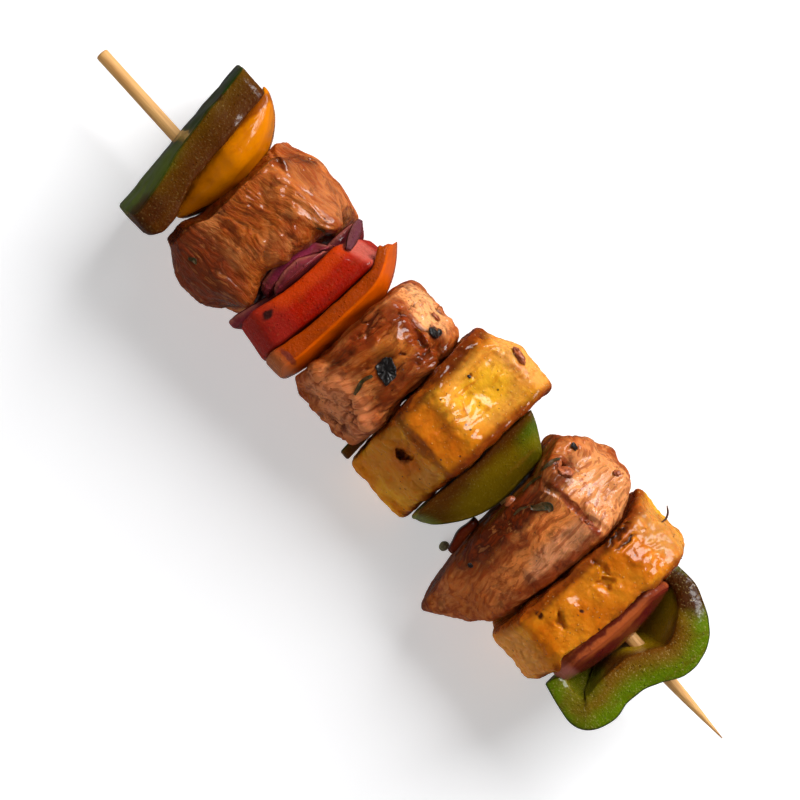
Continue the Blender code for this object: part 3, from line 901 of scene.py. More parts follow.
class KebabFruitSizes(bpy.types.PropertyGroup):
    voxel: length("Surface step", "Spacing of the surface points of a chunk", 0.36)
    sac_width: length("Sac width", "Width of one juice sac", 2.4)
    sac_depth: length("Sac depth", "Depth of the gaps between sacs", 0.32)
    dimple_depth: length("Dimple depth", "Height of the fine dimples", 0.1)
    lump_depth: length("Lump height", "Height of the broad lumps", 1.0)
    bright: tone("Bright flesh", "Pineapple flesh in the light", 244, 174, 40)
    deep: tone("Deep flesh", "Wet, darker pineapple flesh", 218, 128, 14)
    tan: tone("Tan flesh", "Drier, matte flesh", 202, 124, 36)
    amber: tone("Amber", "Cooked, translucent flesh", 210, 106, 10)
    caramel: tone("Caramel", "Browned faces and edges", 132, 52, 8)
    speck: tone("Specks", "Dark specks", 60, 24, 8)


class KebabPepperColours(bpy.types.PropertyGroup):
    green_skin: tone("Green skin", "Outside of the green pepper", 42, 64, 6)
    fresh_flesh: tone("Fresh green flesh", "Cut wall where it stayed green", 96, 120, 0)
    olive_flesh: tone("Olive flesh", "Cut wall just under the skin, cooked", 94, 60, 0)
    olive_inner: tone("Brown-olive flesh", "Cut wall further in", 86, 44, 0)
    green_rim: tone("Cooked rim", "Cooked inner face of the green pepper", 80, 34, 6)
    yellow_skin: tone("Yellow skin", "Outside of the yellow pepper", 218, 124, 0)
    yellow_flesh: tone("Yellow flesh", "Cut wall of the yellow pepper", 176, 84, 2)
    red_skin: tone("Red skin", "Outside of the red pepper", 140, 8, 0)
    red_flesh: tone("Red flesh", "Cut wall of the red pepper", 168, 24, 0)
    red_edge: tone("Orange-red flesh", "Inner edge of the red pepper", 202, 62, 4)
    orange_skin: tone("Orange skin", "Outside of the orange pepper", 240, 100, 0)
    orange_flesh: tone("Orange flesh", "Cut wall of the orange pepper", 166, 60, 0)
    cooked: tone("Browned rim", "Browned rims of the slices", 112, 44, 8)


class KebabOnionColours(bpy.types.PropertyGroup):
    skin: tone("Outer side", "Outer side of a petal", 106, 16, 28)
    flesh: tone("Cut flesh", "Cut flesh of a petal", 176, 98, 84)
    inner: tone("Inner side", "Inner side of a petal", 136, 48, 58)
    cooked: tone("Cooked rim", "Browned rims", 70, 28, 16)


class KebabBitSizes(bpy.types.PropertyGroup):
    herb: tone("Herb", "Green side of the herbs", 50, 46, 12)
    herb_brown: tone("Browned herb", "Browned side of the herbs", 84, 56, 20)
    coal: tone("Char", "Burnt scabs", 16, 14, 14)
    garlic: tone("Garlic", "Cooked bits of garlic", 186, 98, 52)
    fleck: tone("Pepper", "Ground pepper", 44, 20, 10)
    fleck_size: length("Fleck size", "Radius of a grain of pepper", 0.16)
    flecks: FloatProperty(name="Flecks", description="Grains on a square centimetre", default=4.0)


class KebabStickColours(bpy.types.PropertyGroup):
    pale: tone("Pale bamboo", "Light grain", 238, 184, 112)
    dark: tone("Dark bamboo", "Dark grain", 204, 140, 76)
    toasted: tone("Toasted bamboo", "The browned ends", 140, 84, 44)


class KebabStageSizes(bpy.types.PropertyGroup):
    key_power: FloatProperty(
        name="Key light", description="Power of the window light", default=12.0, unit="POWER"
    )
    glint_power: FloatProperty(
        name="Glint light", description="Power of the small highlights", default=7.5, unit="POWER"
    )
    fill_power: FloatProperty(
        name="Fill light", description="Power of the soft light opposite", default=3.6, unit="POWER"
    )
    fill: FloatProperty(name="Fill", description="Brightness of the surroundings", default=0.06)
    floor_glow: FloatProperty(
        name="Floor glow", description="How far the pale floor lights up by itself", default=0.36
    )
    floor: tone("Floor", "Colour of the floor", 244, 244, 246)


# ---------------------------------------------------------------- pieces


def stick_profile():
    body = [(-100.0, 1.25), (-99.9, 1.42), (-99.7, 1.5)]
    body += [(x, 1.5) for x in np.linspace(-99.0, 76.0, 120)]
    for t in np.linspace(0.0, 1.0, 40)[1:]:
        body.append((76.0 + 24.0 * t, 0.12 + 1.38 * math.cos(t * math.pi / 2.0)))
    return body


def build_stick(sizes):
    rings = []
    turn = np.linspace(0.0, math.tau, 48, endpoint=False)
    for x, radius in stick_profile():
        facet = radius * (1.0 - 0.02 * np.cos(3.0 * turn + 0.4) ** 2)
        rings.append(
            np.column_stack([np.full(48, x), facet * np.cos(turn), facet * np.sin(turn)])
        )
    obj = new_object("stick", ring_mesh("stick", np.array(rings)))
    obj.data.materials.append(bamboo_finish(sizes))
    show(obj, "bamboo", "skewer")
    return obj


def build_meat(node, relief, material, sizes, sculpt, fibre, seed, rough, long, smoothing=14):
    obj = chunk(node + "_crust", node, sizes.voxel / MM, smoothing)
    set_points(obj.data, sculpt(points_of(obj.data)))
    shape_with(
        obj,
        relief,
        material,
        Fibre_Direction=fibre,
        Fibre_Length=long,
        Fibre_Width=sizes.fibre_width / MM,
        Fibre_Depth=sizes.fibre_depth / MM,
        Fold_Width=sizes.fold_width / MM,
        Fold_Depth=sizes.fold_depth / MM * rough,
        Gap_Depth=sizes.gap_depth / MM * rough,
        Lump_Depth=sizes.lump_depth / MM,
        Seed=seed,
    )
    show(obj, "chicken", node)
    return obj


def press(p, axis, limit, keep=0.15):
    """Flattens what stands beyond a limit along an axis, from above it. keep is the share of
    its height that is left."""
    p = p.copy()
    over = p[:, axis] > limit
    p[over, axis] = (limit + keep * (p[:, axis] - limit))[over]
    return p


def sculpt_chicken_a(p):
    x, y, z = p.T
    p[:, 0] = -p[:, 0]
    p = press(p, 0, 59.6 - 4.0 * ease(z, 0.0, 12.0) + 1.8 * ease(-y, 6.0, 12.0), 0.15)
    p[:, 0] = -p[:, 0]
    p = push(p, (-42.5, 0.0, 14.0), (9.0, 12.0, 10.0), (4.6, 0.0, 0.4))
    p = push(p, (-41.5, 12.0, 12.0), (7.0, 6.0, 9.0), (4.2, 0.0, 0.0))
    p = push(p, (-41.5, -11.0, 12.0), (7.0, 7.0, 9.0), (2.6, 0.0, 0.0))
    p = crease(p, [(-60, 12.8, 14), (-56, 12.2, 16), (-51, 12, 17), (-45, 13, 16)], 1.5, 1.0)
    p = push(p, (-57.5, 16.0, 8.0), (5.5, 5.0, 12.0), (0.0, -1.0, -2.6))
    p = push(p, (-59.5, 18.5, 4.0), (10.0, 8.0, 24.0), (0.0, -3.6, 0.0))
    p = push(p, (-62.0, -19.0, 2.0), (9.0, 8.0, 30.0), (0.6, 3.6, 0.0))
    p = push(p, (-38.5, -19.0, 2.0), (7.0, 7.0, 30.0), (0.0, 3.0, 0.0))
    p = push(p, (-39.5, 6.0, 11.0), (5.0, 5.0, 9.0), (2.2, 0.0, 0.0))
    p = push(p, (-39.5, -14.0, 8.0), (5.0, 5.0, 12.0), (2.0, 0.0, 0.0))
    p = crease(p, [(-52.5, 19, 4), (-53.5, 15.5, 12)], 1.6, 1.4, (0.0, -0.5, -0.8))
    p = crease(p, [(-50, 10, 17), (-47, 6.5, 17.4), (-44, 4.5, 17), (-42, 2.5, 16)], 1.8, 0.4)
    p = crease(p, [(-54, 6, 17), (-49, 3, 17.4), (-44, -1, 17), (-42, -4, 16)], 1.2, 0.6)
    p = crease(p, [(-58.4, 3, 15), (-57.9, -3, 15.5), (-58.2, -15, 12)], 1.3, 0.6)
    p = push(p, (-50.0, -20.5, 4.0), (8.0, 5.0, 9.0), (0.0, -1.0, 0.0))
    return p


def sculpt_chicken_b(p):
    p = crease(p, [(-19.5, 12, 15), (-15, 11.5, 16.5), (-10, 9.8, 16.5), (-3, 7.5, 15)], 1.6, 1.5)
    p = push(p, (-3.0, 11.5, 14.0), (4.5, 5.5, 7.0), (0.0, 0.0, -2.6))
    p = push(p, (-10.0, 4.0, 16.0), (9.0, 6.0, 6.0), (0.0, 0.0, 0.9))
    p = crease(p, [(-16.8, 0, 15.5), (-16.2, -6, 15.5), (-15.6, -11, 14.5)], 1.3, 1.6)
    p = crease(p, [(-13, 2, 16.5), (-13.2, -6, 16), (-11.5, -12, 14.5)], 1.0, 0.6)
    p = crease(p, [(-5, 5, 15.5), (-4.2, -3, 15), (-4.6, -9, 14)], 1.1, 0.8)
    p = push(p, (-12.5, -18.0, 6.0), (3.2, 3.0, 5.0), (0.0, -2.2, 0.0))
    p = push(p, (-18.5, -15.0, 6.0), (3.0, 3.5, 6.0), (-1.4, -0.5, 0.0))
    p = push(p, (-18.5, -8.0, 12.0), (3.0, 4.0, 7.0), (1.6, 0.0, 0.0))
    return p


def sculpt_chicken_c(p):
    p = crease(p, [(30, 11, 15), (32.5, 13.5, 17), (36.0, 16.5, 16)], 1.8, 1.6)
    p = crease(p, [(33, 8, 17), (38, 9, 18), (43, 9.6, 18), (48, 11, 16)], 1.3, 0.9)
    p = crease(p, [(36, 4, 17.5), (35.5, -6, 16), (35.6, -16, 12), (35.4, -27, 4)], 1.3, 0.8)
    p = crease(p, [(33.6, 2, 16), (33.6, -8, 15), (34.2, -20, 10)], 1.0, 0.6)
    p = crease(p, [(42, 4, 18), (41.2, -6, 16.5), (40.4, -18, 11)], 1.2, 0.7)
    p = push(p, (40.0, 20.0, 12.0), (6.0, 5.0, 7.0), (0.0, 1.0, 0.8))
    p = push(p, (45.0, 21.0, 8.0), (6.0, 7.0, 24.0), (0.0, 2.4, 0.0))
    p = push(p, (31.5, 20.0, 8.0), (5.0, 6.0, 24.0), (0.0, 1.2, 0.0))
    return p


def chicken_a_marks(sizes):
    pale, glaze_and_shade, char = tuple(sizes.pale), tuple(sizes.glaze_and_shade), tuple(sizes.char)
    lean = srgb(112, 46, 18)
    return [
        ((-50, -15, 8), (14, 8, 14), lean, 0.95),
        ((-43, 16, 12), (7, 5, 9), srgb(186, 106, 56), 0.9),
        ((-53, 15, 12), (6, 3.4, 9), srgb(136, 62, 20), 0.75),
        ((-51, 9, 16), (7, 4, 5), srgb(192, 104, 42), 0.7),
        ((-50, 0, 16), (8, 5, 5), srgb(158, 76, 22), 0.5),
        ((-41, 3, 14), (4, 8, 6), srgb(150, 66, 20), 0.5),
        ((-57, 12.6, 15), (4.5, 1.4, 4), glaze_and_shade, 0.8),
        ((-58.2, -3, 15), (1.6, 7, 5), glaze_and_shade, 0.7),
        # On the left side, next to the yellow pepper, this glaze tone is also painted shade.
        ((-60, -8, 8), (3.0, 9, 10), glaze_and_shade, 0.65),
        ((-58, 16.5, 6), (5, 2, 6), glaze_and_shade, 0.6),
        ((-53, 18, 8), (3, 1.6, 5), char, 0.6),
        ((-45, 19.8, 6), (6, 1.2, 5), char, 0.5),
        ((-56.6, -3.2, 16), (2.0, 1.4, 3), glaze_and_shade, 0.7),
    ]


def chicken_b_marks(sizes):
    pale, glaze_and_shade, char = tuple(sizes.pale), tuple(sizes.glaze_and_shade), tuple(sizes.char)
    return [
        # Paler meat and painted light: the top side, which faces the key light, is painted paler.
        ((-13, 15, 12), (8, 4.6, 9), srgb(248, 174, 112), 1.0),
        ((-17.5, 11, 13), (3.5, 3, 8), srgb(226, 140, 76), 0.9),
        ((-8, -12.5, 10), (10, 5.5, 9), srgb(226, 136, 84), 0.9),
        ((-9, 3, 17), (4, 5, 4), srgb(200, 112, 36), 0.8),
        ((-3.2, 10.5, 14), (3, 4, 5), glaze_and_shade, 0.65),
        ((-16, 3, 14), (2.6, 7, 8), tuple(sizes.red_brown), 0.85),
        ((-4, 1, 15), (3, 8, 6), srgb(122, 46, 8), 0.75),
        ((-10.5, 8.5, 16), (6, 2.2, 5), srgb(122, 42, 10), 0.8),
        ((-14, 10.8, 16), (5.5, 1.5, 4), tuple(sizes.red_brown), 0.8),
        ((-15.8, -7, 15), (1.3, 5, 3), glaze_and_shade, 0.9),
        ((-11, -4.5, 16), (1.2, 4, 4), glaze_and_shade, 0.5),
        ((-9.6, 15.2, 13), (1.7, 1.2, 4), char, 0.7),
        ((-6.6, 12.8, 14), (1.7, 1.5, 4), srgb(46, 30, 34), 0.95),
    ]


def chicken_c_marks(sizes):
    glaze_and_shade, char = tuple(sizes.glaze_and_shade), tuple(sizes.char)
    return [
        # Paler meat and painted light: the top side, which faces the key light, is painted paler.
        ((41, 16, 13), (10, 9, 9), srgb(230, 150, 88), 1.0),
        ((40.5, -4, 15), (6, 14, 8), srgb(244, 144, 70), 0.9),
        ((44.8, 0, 16), (3.2, 13, 6), srgb(236, 156, 104), 0.95),
        ((40, -20, 7), (7, 9, 9), srgb(196, 106, 48), 0.75),
        ((33.2, -6, 12), (3.4, 20, 10), glaze_and_shade, 0.95),
        ((38.4, -8, 14), (1.2, 12, 8), tuple(sizes.red_brown), 0.7),
        ((47.6, -6, 12), (1.6, 16, 10), tuple(sizes.red_brown), 0.8),
        ((32.5, 12, 14), (3, 4, 6), glaze_and_shade, 0.7),
        ((42, 9.4, 17), (8, 0.9, 3), srgb(128, 38, 18), 0.85),
        ((37, -14, 11), (1.2, 12, 6), glaze_and_shade, 0.4),
        ((35, -30, 0), (2, 3, 8), char, 0.7),
        ((31.5, 18.5, 8), (1.4, 0.9, 4), char, 0.8),
    ]


def pineapple_a_marks(sizes):
    caramel, speck = tuple(sizes.caramel), tuple(sizes.speck)
    return [
        ((9, 12, 14), (8.5, 9, 7), srgb(240, 166, 64), 0.85),
        ((9, 12, 14), (4.6, 6.4, 7), srgb(252, 184, 34), 0.85),
        ((9, 22, 12), (9, 3, 8), srgb(232, 162, 80), 0.85),
        ((9, -2, 16), (9, 4.5, 5), tuple(sizes.amber), 0.85),
        ((9, -14, 9), (10, 8, 12), tuple(sizes.tan), 0.9),
        ((9, -5.8, 15), (9, 1.1, 4), srgb(124, 50, 16), 0.7),
        ((-1.0, 4, 14), (3.6, 24, 14), srgb(92, 24, 2), 0.95),
        ((18.8, 8, 14), (2.4, 18, 12), caramel, 0.85),
        ((9, -10.4, 10), (3.6, 2.8, 9), srgb(190, 92, 12), 0.75),
        ((15, -9, 11), (2, 3, 9), srgb(200, 132, 56), 0.7),
        ((8.2, -10, 10), (1.8, 1.2, 9), srgb(56, 12, 6), 1.0),
        ((5, 12, 15), (0.5, 0.4, 2), speck, 1.0),
    ]


def pineapple_b_marks(sizes):
    caramel, speck = tuple(sizes.caramel), tuple(sizes.speck)
    return [
        ((56, 0, 16), (9, 20, 8), tuple(sizes.amber), 0.65),
        ((56, 19.5, 11), (8, 4.5, 8), srgb(206, 138, 66), 0.9),
        ((56, -20, 6), (10, 4.5, 10), srgb(236, 156, 74), 0.9),
        ((49.4, 0, 12), (2.6, 24, 12), caramel, 0.9),
        ((54.8, 4.4, 15), (2.6, 1.2, 4), srgb(200, 122, 12), 0.8),
        ((55.6, -8.6, 15), (1.2, 1.2, 4), srgb(168, 90, 8), 0.7),
        ((50.5, 12.4, 14), (0.8, 3.4, 5), srgb(50, 16, 4), 0.95),
        ((52.7, 12.2, 14), (0.6, 2.8, 5), srgb(58, 20, 4), 0.95),
        ((51.6, 12.4, 14), (1.0, 3.0, 5), srgb(150, 70, 16), 0.8),
        ((52, -11.2, 15), (1.0, 0.6, 4), speck, 1.0),
        ((57, -4, 17), (0.6, 0.5, 3), speck, 1.0),
    ]


def build_fruit(node, relief, sizes, sculpt, seed, marks):
    obj = chunk(node + "_flesh", node, sizes.voxel / MM, 12)
    material = pineapple_finish(node + "_flesh", sizes, seed, node_box(node), marks(sizes))
    set_points(obj.data, sculpt(points_of(obj.data)))
    shape_with(
        obj,
        relief,
        material,
        Sac_Width=sizes.sac_width / MM,
        Sac_Depth=sizes.sac_depth / MM,
        Dimple_Depth=sizes.dimple_depth / MM,
        Lump_Depth=sizes.lump_depth / MM,
        Seed=seed,
    )
    show(obj, "pineapple", node)
    return obj


def sculpt_pineapple_a(p):
    x, y, z = p.T
    scoop = ease(x, 0.5, 6.0) * ease(x, 18.5, 13.0) * ease(y, 3.0, 9.0) * ease(y, 28.0, 12.0)
    lip = np.exp(-(((y - 3.0) / 2.2) ** 2)) * ease(x, 1.0, 4.0) * ease(x, 17.5, 14.0)
    back = 3.4 * ease(y, 10.0, 24.0) * ease(x, 8.0, -1.5)
    z = z + (0.35 * lip - 2.2 * scoop) * ease(z, 6.0, 12.0)
    p = np.column_stack([x, y - back, z])
    p = crease(p, [(1, -5.5, 15.5), (9, -6, 16), (17, -6.5, 15.5)], 1.6, 0.7)
    p = pit(p, 8.0, -10.0, 1.7, 1.1, 2.0, 0.4)
    return push(p, (15.0, -8.5, 12.5), (2.5, 3.5, 4.0), (0.0, -0.5, -0.7))


def sculpt_pineapple_b(p):
    p = pit(p, 50.5, 12.4, 0.9, 3.6, 1.6)
    p = pit(p, 52.7, 12.2, 0.7, 3.0, 1.1, 0.1)
    p = pit(p, 53.4, 5.2, 2.6, 0.9, 0.9, -0.3)
    p = pit(p, 56.2, 3.6, 1.7, 1.7, 1.2)
    p = pit(p, 55.6, -8.6, 1.6, 1.3, 1.1, -1.0)
    p = crease(p, [(50.8, 8, 16), (50.4, -2, 16), (50.6, -14, 15)], 1.8, 0.9)
    limit = onion_b_inside(p[:, 1], p[:, 2]) - 0.4 + 3.4 * ease(-p[:, 1], 13.0, 17.5)
    return press(p, 0, limit, 0.1)


def build_slice(node, slot, mesh, relief, material, seed, streak=(0, 1, 0), **sizes):
    obj = new_object(node + "_slice", mesh)
    shape_with(obj, relief, material, Streak_Direction=streak, Seed=seed, **sizes)
    show(obj, slot, node)
    return obj


def green_a_inside(y, z):
    rounded = 0.35 * above(-y, 15.5) ** 1.5
    return -67.3 - 0.14 * y + 0.17 * z + 2.1 * ease(-y, 4.0, 12.0) - rounded


def green_a_skin(y, z):
    roll = 0.011 + 0.006 * ease(-y, -2.0, 16.0)
    return -76.3 - 0.13 * y + roll * above(z, -6.0) ** 2


def yellow_skin(y, z):
    return -58.5 - 0.0165 * (y - 3.0) ** 2 - 0.025 * above(y, 10.0) ** 2 - 0.014 * z**2


def yellow_inside(y, z):
    edge = -66.6 - 0.1 * above(y, 5.0) + 0.036 * above(-y, 0.0) ** 2
    edge = np.maximum(edge - 2.0, green_a_inside(y, z) - 0.7) - 1.6 * ease(y, 19.6, 21.4)
    return np.minimum(edge, yellow_skin(y, z) - 0.6)


def red_left(y, z):
    curl = np.where(y < 0.0, 0.0105, 0.004) * y**2
    return -31.9 - curl - 0.20 * z


def red_right(y, z):
    curl = np.where(y < 0.0, 0.0055, 0.0) * y**2
    return -25.0 - curl - 0.08 * z


def nested(y, half_width):
    return np.maximum(0.0, 1.0 - (y / half_width) ** 2)


def orange_inside(y, z):
    return red_right(y, z) + 0.4 - 3.0 * ease(y, 11.0, 17.0) * ease(z, 6.0, 11.0)


def orange_skin(y, z):
    ends = 0.042 * above(y, 7.0) ** 2 + 0.02 * above(-y, 9.0) ** 2
    return -19.6 - ends - 0.0185 * z**2


def pineapple_a_left(y, z):
    return -0.2 - 0.08 * y + 0.0 * z


def pineapple_a_right(y, z):
    return 18.7 + 0.6 * np.exp(-((y / 5.0) ** 2)) - 0.01 * z


def green_c_skin(y, z):
    far = 1.2 * (above(y, 0.0) / 12.0) ** 2 + 8.0 * (above(y, 11.0) / 6.0) ** 1.7
    near = 8.0 * (above(-y, 0.0) / 17.0) ** 2.2
    return 29.8 - far - near - 0.012 * z**2


def green_c_inside(y, z):
    return np.maximum(green_c_skin(y, z) - 9.3, pineapple_a_right(y, z) + 0.5)


def chicken_c_left(y, z):
    tucked = 3.6 * ease(y, 9.0, 15.5) - 1.3 * above(y, 17.0)
    return 30.3 - tucked + 0.006 * above(-y, 0.0) ** 2 + 0.0 * z


def onion_b_skin(y, z):
    return 70.2 - 0.0085 * (y + 1.0) ** 2 - 0.034 * z**2


def onion_b_inside(y, z):
    return 63.6 - 0.13 * above(-y, 1.0) + 0.35 * above(y, 8.0) + 0.0 * z


def build_peppers(relief, colours):
    green = slice_finish(
        "green_pepper_a_cut",
        tuple(colours.green_skin),
        tuple(colours.olive_flesh),
        tuple(colours.olive_inner),
        tuple(colours.green_rim),
        6.5,
        seed=1.0,
        browned=0.7,
        painted_glint_share=0.14,
        marks=[
            ((-72.5, -12, 8), (3.6, 11, 18), srgb(88, 104, 12), 0.8),
            ((-66, -15, 11), (3.4, 5, 6), srgb(66, 24, 4), 0.75),
            ((-74, 12, 13), (1.0, 1.0, 3), srgb(60, 30, 4), 0.7),
        ],
    )
    corners = [(19, -14), (20.3, 12.5), (-18.2, 14), (-19.2, -12)]
    mesh = slice_mesh(
        "green_pepper_a", corners, green_a_skin, green_a_inside, green_a_skin, 2.5, 0.6, 0.7
    )
    build_slice("green_pepper_a", "green_pepper", mesh, relief, green, 1.0, Wave_Depth=0.6)

    yellow = slice_finish(
        "yellow_pepper_cut",
        tuple(colours.yellow_skin),
        tuple(colours.yellow_skin),
        tuple(colours.yellow_skin),
        tuple(colours.yellow_flesh),
        7.6,
        gloss=0.16,
        seed=2.0,
        browned=0.9,
        sparkle=0.02,
        painted_glint_share=0.0,
        marks=[
            ((-67.6, 14, 8), (1.3, 9, 6), srgb(150, 70, 8), 0.9),
            ((-66.4, -2, 8), (1.5, 4, 6), srgb(150, 74, 14), 0.6),
            ((-64.6, -8, 6), (0.9, 4, 6), srgb(104, 46, 10), 0.7),
        ],
    )
    corners = [(18, -9), (21.5, 8.5), (6, 12), (-12.2, 2.5), (-9, -9.5)]
    mesh = slice_mesh(
        "yellow_pepper", corners, yellow_inside, yellow_skin, yellow_skin, 2.5, 0.5, 2.6
    )
    build_slice("yellow_pepper", "yellow_pepper", mesh, relief, yellow, 2.0)

    red = slice_finish(
        "red_pepper_cut",
        tuple(colours.red_skin),
        tuple(colours.red_flesh),
        tuple(colours.red_flesh),
        tuple(colours.cooked),
        7.0,
        seed=3.0,
        browned=0.0,
        marks=[
            ((-34.4, 2, 12), (3.2, 16, 7), tuple(colours.red_edge), 0.8),
            ((-26.2, 0, 10), (1.8, 17, 8), srgb(132, 8, 0), 0.7),
            ((-30, -13.5, 10), (7, 6, 8), srgb(150, 34, 26), 0.7),
            ((-31.5, 13.4, 8), (6, 3, 7), srgb(214, 104, 88), 0.8),
            ((-33.2, -11.2, 13), (0.9, 1.5, 3), srgb(34, 16, 16), 0.95),
        ],
    )
    corners = [(16.5, -10), (14.6, 1), (9.2, 12.5), (-14, 12), (-17.6, 4), (-17.0, -11)]
    far_side = [(16.5, -10), (16.4, 1), (12.8, 12.5), (-15, 12), (-18.6, 4), (-17.5, -11)]
    mesh = slice_mesh(
        "red_pepper", corners, red_left, red_right, red_right, 2.0, 0.4, 1.0, low_corners=far_side
    )
    build_slice("red_pepper", "red_pepper", mesh, relief, red, 3.0)

    orange = slice_finish(
        "orange_pepper_cut",
        tuple(colours.orange_skin),
        tuple(colours.orange_flesh),
        tuple(colours.orange_flesh),
        tuple(colours.cooked),
        6.0,
        gloss=0.22,
        seed=4.0,
        browned=0.2,
        marks=[
            ((-24, -16.5, 4), (5, 3.2, 9), srgb(186, 116, 70), 0.6),
            ((-23.5, -13.8, 11), (2.6, 0.6, 3), srgb(96, 40, 40), 0.7),
            ((-27.8, 16, 10), (3, 4, 6), srgb(176, 72, 4), 0.6),
        ],
    )
    corners = [(16, -12), (16.8, 4), (16.6, 12), (-16.5, 11.5), (-18.6, 2), (-16, -12)]
    skin_side = [(16, -12), (20.2, 2), (17.4, 12), (-16.5, 11.5), (-18.6, 2), (-16, -12)]
    mesh = slice_mesh(
        "orange_pepper",
        corners,
        orange_inside,
        orange_skin,
        orange_skin,
        1.6,
        0.3,
        0.8,
        low_corners=skin_side,
    )
    build_slice("orange_pepper", "orange_pepper", mesh, relief, orange, 4.0)

    sliver = slice_finish(
        "green_pepper_b_cut",
        tuple(colours.green_skin),
        tuple(colours.olive_flesh),
        tuple(colours.olive_inner),
        tuple(colours.green_rim),
        2.4,
        seed=5.0,
    )

    def sliver_left(y, z):
        return pineapple_a_left(y, z) - 2.9

    def sliver_right(y, z):
        return pineapple_a_left(y, z) - 0.5

    corners = [(-7.5, -11), (-8, 0.5), (-19.5, 1.5), (-19.2, -10)]
    mesh = slice_mesh(
        "green_pepper_b",
        corners,
        sliver_left,
        sliver_right,
        sliver_left,
        2.0,
        0.4,
        0.5,
        centre=(-13.5, -5.0),
        segments=120,
    )
    build_slice("green_pepper_b", "green_pepper", mesh, relief, sliver, 5.0, Wave_Depth=0.1)

    wedge = slice_finish(
        "green_pepper_c_cut",
        tuple(colours.green_skin),
        tuple(colours.olive_flesh),
        tuple(colours.olive_inner),
        tuple(colours.green_rim),
        9.0,
        seed=6.0,
        painted_glint_share=0.1,
        marks=[
            ((26.0, 13.5, 8), (5.5, 5.0, 7), srgb(66, 92, 12), 1.0),
            ((20, -16, 0), (6, 3.4, 7), srgb(120, 130, 52), 0.8),
            ((27.5, 3, 8), (6, 15, 10), srgb(120, 98, 4), 0.7),
            ((26.0, 8, 11), (0.6, 6, 4), srgb(138, 96, 22), 0.7),
        ],
    )
    corners = [(14, -9), (17, 12), (-16, 9), (-18, -7)]
    low = [(y, z - 5.0) for y, z in corners]
    mesh = slice_mesh(
        "green_pepper_c",
        corners,
        green_c_inside,
        green_c_skin,
        green_c_skin,
        2.2,
        0.5,
        0.7,
        low_corners=low,
    )
    build_slice("green_pepper_c", "green_pepper", mesh, relief, wedge, 6.0)

    scrap = slice_finish(
        "red_pepper_scrap_cut",
        srgb(84, 14, 2),
        srgb(96, 26, 4),
        srgb(96, 30, 6),
        tuple(colours.cooked),
        2.1,
        seed=7.0,
    )

    def scrap_right(y, z):
        return chicken_c_left(y, z) - 0.5

    def scrap_left(y, z):
        return chicken_c_left(y, z) - 2.6 - 0.3 * np.sin(0.9 * y)

    corners = [(-7.5, -3), (-8, 2), (-16.3, 1), (-16.5, -4)]
    mesh = slice_mesh(
        "red_pepper_scrap",
        corners,
        scrap_left,
        scrap_right,
        scrap_left,
        1.6,
        0.3,
        0.8,
        centre=(-12.0, -1.0),
        segments=120,
    )
    build_slice("red_pepper_scrap", "red_pepper", mesh, relief, scrap, 7.0, Wave_Depth=0.1)


def strip(path, width, thickness):
    """A flat strip with rounded sides along a path of points."""
    shares = np.linspace(0.0, 1.0, 40)
    line = np.array([smooth_path(path, t) for t in shares])
    ahead = np.gradient(line, axis=0)
    side = np.cross((0.0, 0.0, 1.0), ahead)
    side /= np.linalg.norm(side, axis=1, keepdims=True)
    up = np.cross(ahead, side)
    up /= np.linalg.norm(up, axis=1, keepdims=True)
    fade = np.sin(np.pi * np.clip(shares, 0.06, 0.94)) ** 0.4
    rings, depths = [], []
    for turn in np.linspace(0.0, math.tau, 20, endpoint=False):
        across, high = math.cos(turn), math.sin(turn)
        moved = side * (fade * width / 2.0 * across)[:, None]
        rings.append(line + moved + up * (fade * thickness / 2.0 * high)[:, None])
        depths.append(np.full(len(line), width * (0.5 + 0.5 * across)))
    rings = np.array(rings).transpose(1, 0, 2)
    return ring_mesh("strip", rings, values={"depth": np.array(depths).T})


